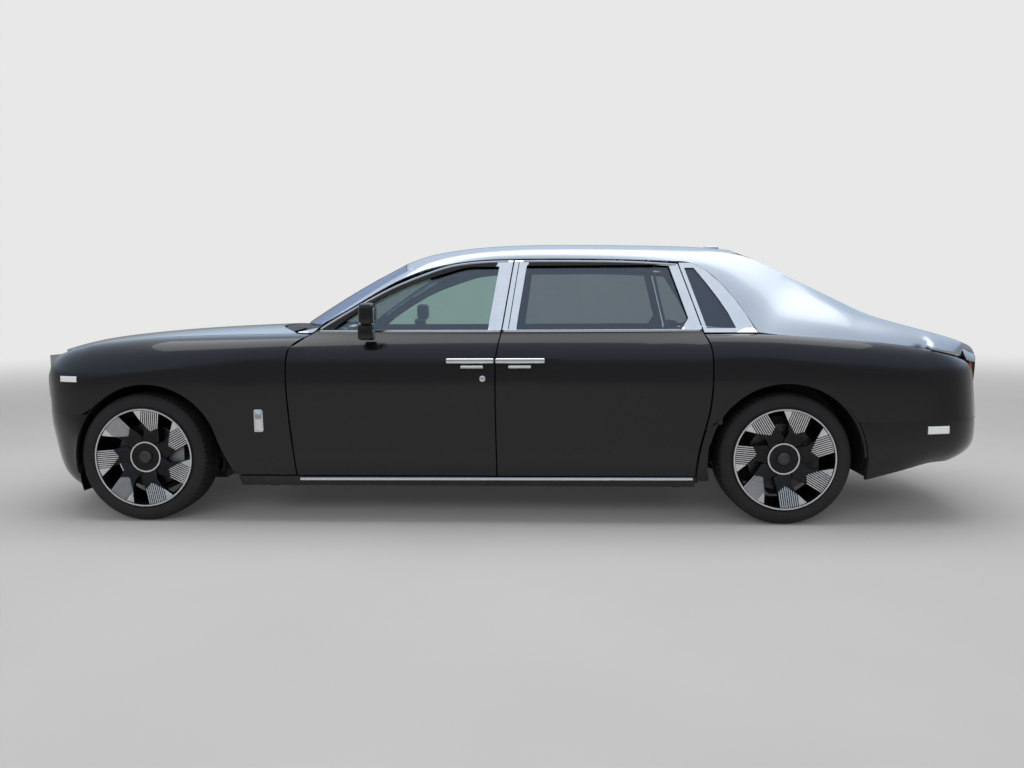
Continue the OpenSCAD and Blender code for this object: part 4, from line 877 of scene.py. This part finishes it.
def door_top(x, node):
    """The highest place of a door's skin at one x, found step by step below the drip line."""
    top = smooth_line(DRIP, x)
    return next(top - k * 0.001 for k in range(4, 60) if skin_y(x, top - k * 0.001, node))


def strip(name, path, section, bevel=0.0012):
    """One section, given as offsets, extruded along the path."""
    piece = outline_face(name, [Vector(path[0]) + Vector(corner) for corner in section])
    edit(piece, lambda: [push_out(Vector(stop) - Vector(start))
                         for start, stop in zip(path, path[1:])],
         lambda: weld(0.00002), outward)
    if bevel:
        break_edges(piece, bevel, 2, 40)
    return smooth(piece, 35)


def rounded_bar(name, low, high, radius, segments=4):
    """A cube stretched between two corners, with all its edges rounded."""
    bpy.ops.object.select_all(action="DESELECT")
    middle = (Vector(low) + Vector(high)) / 2
    bpy.ops.mesh.primitive_cube_add(size=1, location=middle)
    piece = bpy.context.object
    piece.name = name
    piece.scale = Vector(high) - Vector(low)
    bpy.ops.object.transform_apply(location=True, rotation=True, scale=True)
    break_edges(piece, radius, segments)
    return smooth(piece, 40)


FLIP = Matrix.Scale(-1, 4, (0, 1, 0))


def both_sides(piece, bodies, slot_name="chrome", material=CHROME):
    """Dresses the left piece and adds its mirrored copy on the right."""
    twin = moved_copy(piece, piece.name + "_right", FLIP)
    piece.name += "_left"
    for one, body in zip((piece, twin), bodies):
        dress(one, body, slot_name, material)
    return piece, twin


def steps(a, b, count):
    return [a + (b - a) * i / count for i in range(count + 1)]


FRONT_DOORS = ("front_door_left", "front_door_right")
REAR_DOORS = ("rear_door_left", "rear_door_right")
BODY = ("body", "body")
print("strip helpers ready")

# %% Belt and sill strips
BELT_HEIGHT = 1.131
BELT = ((0, -0.0035, -0.008), (0, -0.0035, 0.006), (0, 0.006, 0.006), (0, 0.006, -0.008))
for node, bodies, x0, x1 in (("front_door_left", FRONT_DOORS, -1.050, 0.020),
                             ("rear_door_left", REAR_DOORS, 0.040, 1.176)):
    path = [(x, skin_y(x, BELT_HEIGHT, node), BELT_HEIGHT) for x in steps(x0, x1, 24)]
    both_sides(strip(node[:5].strip("_") + "_belt_strip", path, BELT), bodies)
SILL = ((0, -0.006, -0.008), (0, -0.006, 0.008), (0, 0.004, 0.010), (0, 0.004, -0.010))
both_sides(strip("sill_strip", [(x, -0.9755, 0.2705 + x * 0.0035) for x in steps(-1.161, 1.133, 8)],
                 SILL, 0.003),
           BODY)
RAIL = ((0, -0.0022, -0.008), (0, -0.0022, 0.008), (0, 0.004, 0.008), (0, 0.004, -0.008))
for node, bodies, x0, x1 in (("front_door_left", FRONT_DOORS, -1.046, 0.060),
                             ("rear_door_left", REAR_DOORS, 0.150, 1.062)):
    line = steps(x0, x1, 40)
    tops = [door_top(x, node) for x in line]
    path = []
    for i, x in enumerate(line):
        near = tops[max(i - 2, 0):i + 3]
        z = min(tops[i], sum(near) / len(near)) - 0.006
        path.append((x, skin_y(x, z, node), z))
    both_sides(strip(node[:5].strip("_") + "_window_rail", path, RAIL, 0.001), bodies)
joint = [(0.067 + k * 0.0058, 1.141 + k * 0.0397) for k in range(11)]
LINE = ((-0.0025, -0.0012, 0), (0.0025, -0.0012, 0), (0.0025, 0.002, 0), (-0.0025, 0.002, 0))
both_sides(strip("pillar_joint", [(x, skin_y(x, z, "rear_door_left"), z) for x, z in joint], LINE, 0),
           REAR_DOORS, "black_trim", SEAL)
print("belt and sill strips done")

# %% [markdown]
# ### Door handles
# The two doors of a side share one pair of handles that meet at the middle: a long bar above and
# a short pull below it, on two feet each. The lock barrel sits under the front one.

# %% Handles
def handle(node, bodies, long_x, short_x, feet_long, feet_short):
    parts = []
    for (x0, x1), (z0, z1), stand, feet, radius in (
            (long_x, (0.950, 0.980), 0.036, feet_long, 0.009),
            (short_x, (0.9205, 0.9365), 0.022, feet_short, 0.005)):
        y = skin_y((x0 + x1) / 2, (z0 + z1) / 2, node)
        parts.append(rounded_bar("bar", (x0, y - stand, z0), (x1, y - stand + 0.016, z1), radius))
        for x in feet:
            parts.append(rounded_bar("foot", (x - 0.012, y - stand + 0.008, z0 + 0.004),
                                     (x + 0.012, y + 0.002, z1 - 0.004), 0.003))
    both_sides(joined(node[:5].strip("_") + "_handle", parts), bodies)


handle("front_door_left", FRONT_DOORS, (-0.282, -0.009), (-0.202, -0.071), (-0.25, -0.04),
       (-0.15, -0.11))
handle("rear_door_left", REAR_DOORS, (-0.001, 0.281), (0.071, 0.202), (0.04, 0.25), (0.11, 0.15))


def button(name, node, bodies, x, z, radius, material):
    """A small turned button, its face towards the side."""
    y = skin_y(x, z, node)
    piece = turned(name, [(0.0, -0.004), (radius * 0.35, -0.004), (radius * 0.4, -0.0028),
                          (radius * 0.8, -0.0035), (radius, -0.002), (radius, 0.004), (0.0, 0.004)], 40)
    piece.data.transform(Matrix.Translation((x, y, z)))
    both_sides(piece, bodies, "chrome", material)


button("door_lock", "front_door_left", FRONT_DOORS, -0.079, 0.859, 0.017, CHROME)
button("side_button", "quarter_left", BODY, 1.279, 0.856, 0.011, SATIN)
print("handles done")

# %% [markdown]
# ### Markers and plaque
# The side markers are clear lozenges let into the skin. The plaque on the wing is left plain.

# %% Markers and plaque
def patch(name, node, outline, lift, depth, bevel):
    """A small plate whose outline lies on the skin."""
    points = [Vector((x, skin_y(x, z, node) - lift, z)) for x, z in outline]
    return cut_plate(name, points, Vector((0, depth, 0)), bevel)


def marker(title, node, x0, x1, z0, z1):
    """A clear bar that follows the corner of the car, in a thin bright rim."""
    for part, grow, lift, slot_name, material in (("_rim", 0.003, 0.0015, "chrome", CHROME),
                                                  ("", 0.0, 0.0035, "lamp_clear", WHITE)):
        low, high, cut = z0 - grow, z1 + grow, 0.006
        section = [(0, 0.004, low), (0, -lift + 0.002, low), (0, -lift, low + cut),
                   (0, -lift, high - cut), (0, -lift + 0.002, high), (0, 0.004, high)]
        path = [(x, skin_y(x, (z0 + z1) / 2, node), 0.0) for x in steps(x0 - grow, x1 + grow, 12)]
        both_sides(strip(title + part, path, section, 0.0012), BODY, slot_name, material)


marker("front_marker", "front_wing_left", -2.622, -2.499, 0.836, 0.868)
marker("rear_marker", "rear_bumper", 2.468, 2.598, 0.534, 0.576)
plate = patch("wing_plaque", "front_wing_left", [(-1.418, 0.548), (-1.372, 0.548), (-1.364, 0.556),
                                                 (-1.366, 0.672), (-1.374, 0.680), (-1.412, 0.680),
                                                 (-1.420, 0.672)], 0.003, 0.006, 0.001)
both_sides(plate, BODY, "chrome", MACHINED)
panel = patch("plaque_field", "front_wing_left", [(-1.409, 0.562), (-1.375, 0.562), (-1.377, 0.666),
                                                  (-1.411, 0.666)], 0.0038, 0.004, 0.0006)
both_sides(panel, BODY)
print("markers and plaque done")

# %% [markdown]
# ### Door mirrors
# The mirror's head, neck and foot are plain lofts in the part. Here they are blocks of the same
# places and sizes with widely rounded edges, which gives the soft black shell of the real one.

# %% Mirrors
head = rounded_bar("mirror_head", (-0.768, -1.130, 1.172), (-0.680, -1.000, 1.297), 0.030, 6)
foot = rounded_bar("mirror_foot", (-0.784, -1.078, 1.084), (-0.700, -0.975, 1.182), 0.020, 4)
neck = rounded_bar("mirror_neck", (-0.769, -1.030, 1.082), (-0.701, -0.955, 1.113), 0.010, 4)
shells = both_sides(joined("mirror_shell", [head, foot, neck]), FRONT_DOORS, "gloss_black", BLACK)
for shell, node in zip(shells, ("mirror_left", "mirror_right")):
    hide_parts(node)
glass_plate = cut_plate("mirror_face", [Vector((-0.6835, y, z)) for y, z in
                                        ((-1.105, 1.190), (-1.030, 1.186), (-1.022, 1.200),
                                         (-1.024, 1.262), (-1.040, 1.278), (-1.100, 1.274),
                                         (-1.112, 1.262), (-1.114, 1.200))],
                        Vector((0.003, 0, 0)), 0.001)
both_sides(glass_plate, FRONT_DOORS, "chrome", MIRROR)
both_sides(rounded_bar("mirror_line", (-0.766, -1.104, 1.1765), (-0.684, -1.022, 1.1825), 0.0025),
           FRONT_DOORS)
print("mirrors done")

# %% [markdown]
# ### Grille, lamps and plates
# The bars of the grille are straight polished vanes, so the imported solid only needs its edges
# broken. The lamps are clear covers over a bright unit, and both number plates are blank.

# %% Front and rear fittings
for node, width in (("grille", 0.002), ("tail_lamps", 0.0015)):
    break_edges(NODES[node], width, 2, 40, apply=False)
unit_path = [(-2.826, -0.476, 0.80), (-2.800, -0.560, 0.80), (-2.770, -0.645, 0.80),
             (-2.735, -0.715, 0.80)]
UNIT = ((0.0, 0, -0.045), (0.0, 0, 0.045), (0.02, 0, 0.045), (0.02, 0, -0.045))
both_sides(strip("head_lamp_unit", unit_path, UNIT, 0.004), BODY, "lamp_clear", WHITE)
for x, turn, title in ((-2.9395, -1, "front_plate"), (2.9745, 1, "rear_plate")):
    z0, z1 = (0.400, 0.500) if turn < 0 else (0.700, 0.810)
    board = cut_plate(title, [Vector((x, y, z)) for y, z in
                              ((-0.252, z0), (0.252, z0), (0.260, z0 + 0.008), (0.260, z1 - 0.008),
                               (0.252, z1), (-0.252, z1), (-0.260, z1 - 0.008),
                               (-0.260, z0 + 0.008))], Vector((0.004, 0, 0)), 0.001)
    dress(board, "body" if turn < 0 else "boot_lid", "black_trim", PLATE)
FACE = [(-2.8865, -0.468), (-2.8645, -0.558), (-2.8345, -0.648), (-2.7855, -0.753)]
BEZEL = ((0, 0, -0.003), (0, 0, 0.003), (0.008, 0, 0.003), (0.008, 0, -0.003))
rims = [strip("bezel", [(x, y, z) for x, y in FACE], BEZEL, 0.001) for z in (0.737, 0.867)]
for x, y in (FACE[0], FACE[-1]):
    rims.append(rounded_bar("bezel", (x, y - 0.003, 0.735), (x + 0.008, y + 0.003, 0.869), 0.001, 2))
both_sides(joined("head_lamp_bezel", rims), BODY)
for number, (x, y) in enumerate(((-2.852, -0.530), (-2.826, -0.620))):
    eye = turned("eye", [(0.0, -0.010), (0.014, -0.008), (0.022, -0.002), (0.024, 0.0),
                         (0.025, -0.006), (0.030, -0.007), (0.033, 0.0), (0.033, 0.012),
                         (0.0, 0.012)], 40)
    eye.data.transform(Matrix.Translation((x, y, 0.800)) @ Matrix.Rotation(-1.28, 4, "Z"))
    eye.name = f"head_lamp_eye_{number}"
    both_sides(eye, BODY)


def mouth(name, inset_x, z0, z1, thick, slot_name, material, bevel):
    """A strip that follows the lower opening of the front bumper."""
    line = [(-2.785, -0.590), (-2.812, -0.500), (-2.838, -0.400), (-2.853, -0.300), (-2.858, -0.150)]
    line += [(x, -y) for x, y in reversed(line)]
    section = ((0, 0, z0), (0, 0, z1), (thick, 0, z1), (thick, 0, z0))
    piece = strip(name, [(x + inset_x, y, 0.0) for x, y in line], section, bevel)
    dress(piece, "body", slot_name, material)


mouth("intake_screen", 0.012, 0.236, 0.418, 0.006, "black_trim", TRIM, 0)
for number in range(5):
    z = 0.268 + number * 0.030
    mouth(f"intake_bar_{number}", -0.006, z - 0.003, z + 0.003, 0.016, "wheel_satin", SATIN, 0.002)
lid_bar = rounded_bar("boot_bar", (2.962, -0.33, 0.842), (2.986, 0.33, 0.866), 0.008)
dress(lid_bar, "boot_lid", "chrome", CHROME)
CORNER = [(2.776, -0.650, 0.998), (2.780, -0.622, 1.016), (2.790, -0.592, 1.009),
          (2.884, -0.580, 0.974), (2.890, -0.579, 0.933), (2.866, -0.630, 0.934),
          (2.800, -0.660, 0.938), (2.790, -0.590, 0.933)]
cap = from_outline("tail_corner", CORNER, closed=True)
edit(cap, bpy.ops.mesh.convex_hull, outward)
break_edges(cap, 0.008, 3)
smooth(cap, 50)
both_sides(cap, BODY, "silver_paint", SILVER)
both_sides(rounded_bar("lamp_foot", (2.800, -0.640, 0.600), (2.872, -0.576, 0.6465), 0.006),
           BODY, "gloss_black", BLACK)
print("fittings done")

# %% [markdown]
# ### Sill ends behind the rear doors
# The quarter panel runs on down between the door and the wheel arch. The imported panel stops
# above the sill, so a thin pressed plate goes on from it, on the same curve.

# %% Plates below the quarter panels
DOOR_EDGE = [(0.262, 1.155), (0.30, 1.156), (0.36, 1.160), (0.41, 1.166), (0.45, 1.175),
             (0.50, 1.186), (0.555, 1.202), (0.60, 1.212)]
SIDE_CURVE = [(0.262, -0.966), (0.29, -0.980), (0.307, -0.984), (0.36, -0.996), (0.411, -1.0015),
              (0.45, -1.002), (0.60, -1.001)]
ARCH = 0.4535
ARCH_X = {"front": -2.068, "rear": 1.665}
FOOT_LOW, FOOT_HIGH = 0.262, 0.594
bpy.ops.object.select_all(action="DESELECT")
bpy.ops.mesh.primitive_grid_add(x_subdivisions=4, y_subdivisions=16, size=2)
foot = bpy.context.object
foot.name = "quarter_foot"
for vertex in foot.data.vertices:
    across, up = (vertex.co.x + 1) / 2, (vertex.co.y + 1) / 2
    z = FOOT_LOW + (FOOT_HIGH - FOOT_LOW) * up
    x_door = smooth_line(DOOR_EDGE, z)
    x_arch = ARCH_X["rear"] - math.sqrt(ARCH ** 2 - (z - TYRE_RADIUS) ** 2)
    vertex.co = Vector((x_door + (x_arch - x_door) * across, smooth_line(SIDE_CURVE, z), z))
for vertex in foot.data.vertices:
    highest = 0.553 + (vertex.co.x - 1.195) * 0.86
    vertex.co.z = min(vertex.co.z, max(highest, 0.553))
edit(foot, outward)
wall = foot.modifiers.new("wall", "SOLIDIFY")
wall.thickness, wall.offset = 0.008, 0
apply_all(foot)
foot.data.transform(Matrix.Translation((0, 0.004, 0)))
smooth(foot, 35)
both_sides(foot, BODY, "gloss_black", BLACK)
both_sides(rounded_bar("foot_backing", (1.125, -0.884, 0.275), (1.225, -0.876, 0.560), 0.003, 2),
           BODY, "black_trim", SEAL)
print("quarter feet done")

# %% Roof aerial and wheel-arch linings
aerial = rounded_bar("roof_aerial", (1.345, -0.028, 1.632), (1.440, 0.028, 1.6725), 0.013, 5)
dress(aerial, "body", "silver_paint", SILVER)


def arc_sweep(name, x, section, low_angle, high_angle):
    """A flat outline of (radius, y) pairs, turned about the middle of a wheel arch."""
    start = Matrix.Rotation(math.radians(low_angle), 4, "Y")
    middle = Vector((x, 0, TYRE_RADIUS))
    piece = outline_face(name, [middle + start @ Vector((-r, y, 0)) for r, y in section])
    edit(piece, lambda: bpy.ops.mesh.spin(steps=48, angle=-math.radians(high_angle - low_angle),
                                          center=middle, axis=(0, 1, 0)), outward)
    return smooth(piece, 30)


def arch_lining(name, x, radius, y_in, y_out, hole, low_angle, high_angle):
    """A drum over the wheel with a wall towards the middle of the car."""
    section = [(radius, y_out), (radius, y_in - 0.003), (hole, y_in - 0.003), (hole, y_in),
               (radius + 0.003, y_in), (radius + 0.003, y_out)]
    both_sides(arc_sweep(name, x, section, low_angle, high_angle), BODY, "black_trim", TRIM)


arch_lining("front_arch", ARCH_X["front"], 0.4475, -0.49, -0.965, 0.33, -12, 190)
arch_lining("rear_arch", ARCH_X["rear"], 0.4555, -0.60, -0.972, 0.30, -12, 192)
lip = arc_sweep("rear_arch_lip", ARCH_X["rear"], [(0.441, -0.966), (0.441, -0.972), (ARCH, -0.974),
                                                  (ARCH, -0.966)], 12, 178)
both_sides(lip, BODY, "gloss_black", BLACK)
print("aerial and arches done")

# %% [markdown]
# ## The cabin
# Through the dark glass one sees hide, a wooden fascia and the wheel. The cushions are real
# soft goods: each starts as a slightly small block, is inflated by the cloth solver, and gets
# its sewn channels afterwards, because a remesh would close them.

# %% Soft cushions
def pad(name, size, voxel=0.0095, cap=0.024, seams=(), face=(0, 0, 1)):
    """A block of the given size, blown up like a filled cover, with channels sewn in one face."""
    bpy.ops.object.select_all(action="DESELECT")
    bpy.ops.mesh.primitive_cube_add(size=1)
    piece = bpy.context.object
    piece.name = name
    piece.scale = [length - 0.030 for length in size]
    bpy.ops.object.transform_apply(location=True, rotation=True, scale=True)
    edge = piece.modifiers.new("edge", "BEVEL")
    edge.width, edge.segments = 0.022, 3
    grid = piece.modifiers.new("grid", "REMESH")
    grid.mode, grid.voxel_size = "VOXEL", voxel
    apply_all(piece)
    rest = [vertex.co.copy() for vertex in piece.data.vertices]
    cloth = piece.modifiers.new("cloth", "CLOTH")
    cloth.settings.use_pressure = True
    cloth.settings.uniform_pressure_force = 4
    cloth.settings.effector_weights.gravity = 0
    for frame_number in range(1, 21):
        SCENE.frame_set(frame_number)
    apply_all(piece)
    SCENE.frame_set(1)
    for vertex, start in zip(piece.data.vertices, rest):
        shift = vertex.co - start
        if shift.length > cap:
            vertex.co = start + shift.normalized() * cap
    for vertex in piece.data.vertices:
        if vertex.co.dot(Vector(face)) < 0:
            continue
        depth = sum(math.exp(-((vertex.co.y - line) / 0.008) ** 2) for line in seams)
        vertex.co -= vertex.normal * 0.007 * depth
    half = [length / 2 for length in size]
    for vertex in piece.data.vertices:
        for axis in range(3):
            vertex.co[axis] = max(-half[axis], min(half[axis], vertex.co[axis]))
    alone(piece)
    bpy.ops.object.shade_smooth()
    return piece


SEAM_LINES = (-0.165, -0.099, -0.033, 0.033, 0.099, 0.165)
CUSHION = pad("cushion_master", (0.56, 0.56, 0.160), seams=SEAM_LINES)
BACK = pad("back_master", (0.140, 0.56, 0.54), seams=SEAM_LINES, face=(-1, 0, 0))
HEAD = pad("head_master", (0.090, 0.28, 0.19), voxel=0.006, cap=0.014)
print("cushion vertices:", len(CUSHION.data.vertices), len(BACK.data.vertices))

# %% Four seats
FLOOR = 0.2473
for number, (x, back_height) in enumerate(((-0.330, 0.720), (0.808, 0.700))):
    for side, y in (("left", -0.400), ("right", 0.400)):
        base = Matrix.Translation((x, y, FLOOR))
        lean = math.radians(18)
        rise = back_height - 0.180
        frames = {
            "cushion": (CUSHION, base @ Matrix.Translation((-0.02, 0, 0.313)), 0.7),
            "back": (BACK, base @ Matrix.Translation((0.120, 0, 0.300))
                     @ Matrix.Rotation(lean, 4, "Y") @ Matrix.Translation((0.07, 0, rise / 2)), 0.6),
            "headrest": (HEAD, base @ Matrix.Translation((0.120 + rise * 0.309 + 0.02, 0,
                                                          0.270 + rise * 0.951))
                         @ Matrix.Rotation(math.radians(14), 4, "Y")
                         @ Matrix.Translation((0.045, 0, 0.095)), 0.7)}
        row = ("front", "rear")[number]
        for part, (master, place, fill) in frames.items():
            soft = moved_copy(master, f"{row}_seat_{part}_{side}", place)
            dress(soft, "body", "leather_tan", HIDE)
            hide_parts("seats")
        plinth = rounded_bar(f"{row}_seat_base_{side}", (x - 0.25, y - 0.185, FLOOR),
                             (x + 0.22, y + 0.185, FLOOR + 0.234), 0.02)
        dress(plinth, "body", "leather_tan", HIDE_DARK)
        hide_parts("seats")
for master in (CUSHION, BACK, HEAD):
    bpy.data.objects.remove(master)
print("seats done")

# %% Fascia, vents and floor covering
grain = Shader("veneer")
place = grain.node("Mapping", None, {"Vector": grain.node("TexCoord", output="Object"),
                                     "Scale": (6, 1, 22)})
rings = grain.node("TexNoise", None, {"Vector": place, "Scale": 3.0, "Detail": 6.0,
                                      "Distortion": 1.5})
VENEER = grain.surface(
    Base_Color=grain.mix_colour(rings, (0.05, 0.018, 0.008, 1), (0.20, 0.075, 0.028, 1)),
    Roughness=rings * 0.1 + 0.18, Coat_Weight=1.0, Coat_Roughness=0.04)
fascia = cut_plate("fascia", [Vector((-0.9375, -0.66, 1.038)), Vector((-0.9375, 0.66, 1.038)),
                              Vector((-0.886, 0.66, 0.966)), Vector((-0.886, -0.66, 0.966))],
                   Vector((0.006, 0, 0.004)), 0.002)
dress(fascia, "body", "leather_tan", VENEER)
tilt = Matrix.Rotation(math.radians(35), 4, "Y")
for y in (-0.60, -0.12, 0.12, 0.60):
    vent = turned("vent", [(0.0, -0.002), (0.008, -0.003), (0.012, 0.004), (0.028, 0.004),
                           (0.031, -0.003), (0.036, -0.004), (0.037, 0.006), (0.0, 0.006)], 48)
    vent.data.transform(Matrix.Translation((-0.904, y, 1.008)) @ tilt
                        @ Matrix.Rotation(-math.pi / 2, 4, "Z"))
    dress(vent, "body", "chrome", CHROME)
for title, low, high in (("front_carpet", (-0.86, -0.78, 0.2475), (-0.02, 0.78, 0.2595)),
                         ("rear_carpet", (0.0, -0.78, 0.2475), (1.16, 0.78, 0.2595))):
    for side, (y0, y1) in (("left", (low[1], -0.2065)), ("right", (0.2065, high[1]))):
        mat = rounded_bar(f"{title}_{side}", (low[0], y0, low[2]), (high[0], y1, high[2]), 0.004, 2)
        dress(mat, "body", "black_trim", CARPET)
console = rounded_bar("middle_console", (-0.84, -0.115, 0.4065), (1.05, 0.115, 0.640), 0.03)
dress(console, "body", "leather_tan", HIDE_DARK)
lid = rounded_bar("console_lid", (-0.60, -0.100, 0.6385), (0.90, 0.100, 0.6585), 0.009)
dress(lid, "body", "leather_tan", VENEER)
print("cabin done")

# %% [markdown]
# ## Print the sizes of the finished car

# %% Sizes and finish
low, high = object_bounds()
print("visual box:", list(low), list(high))
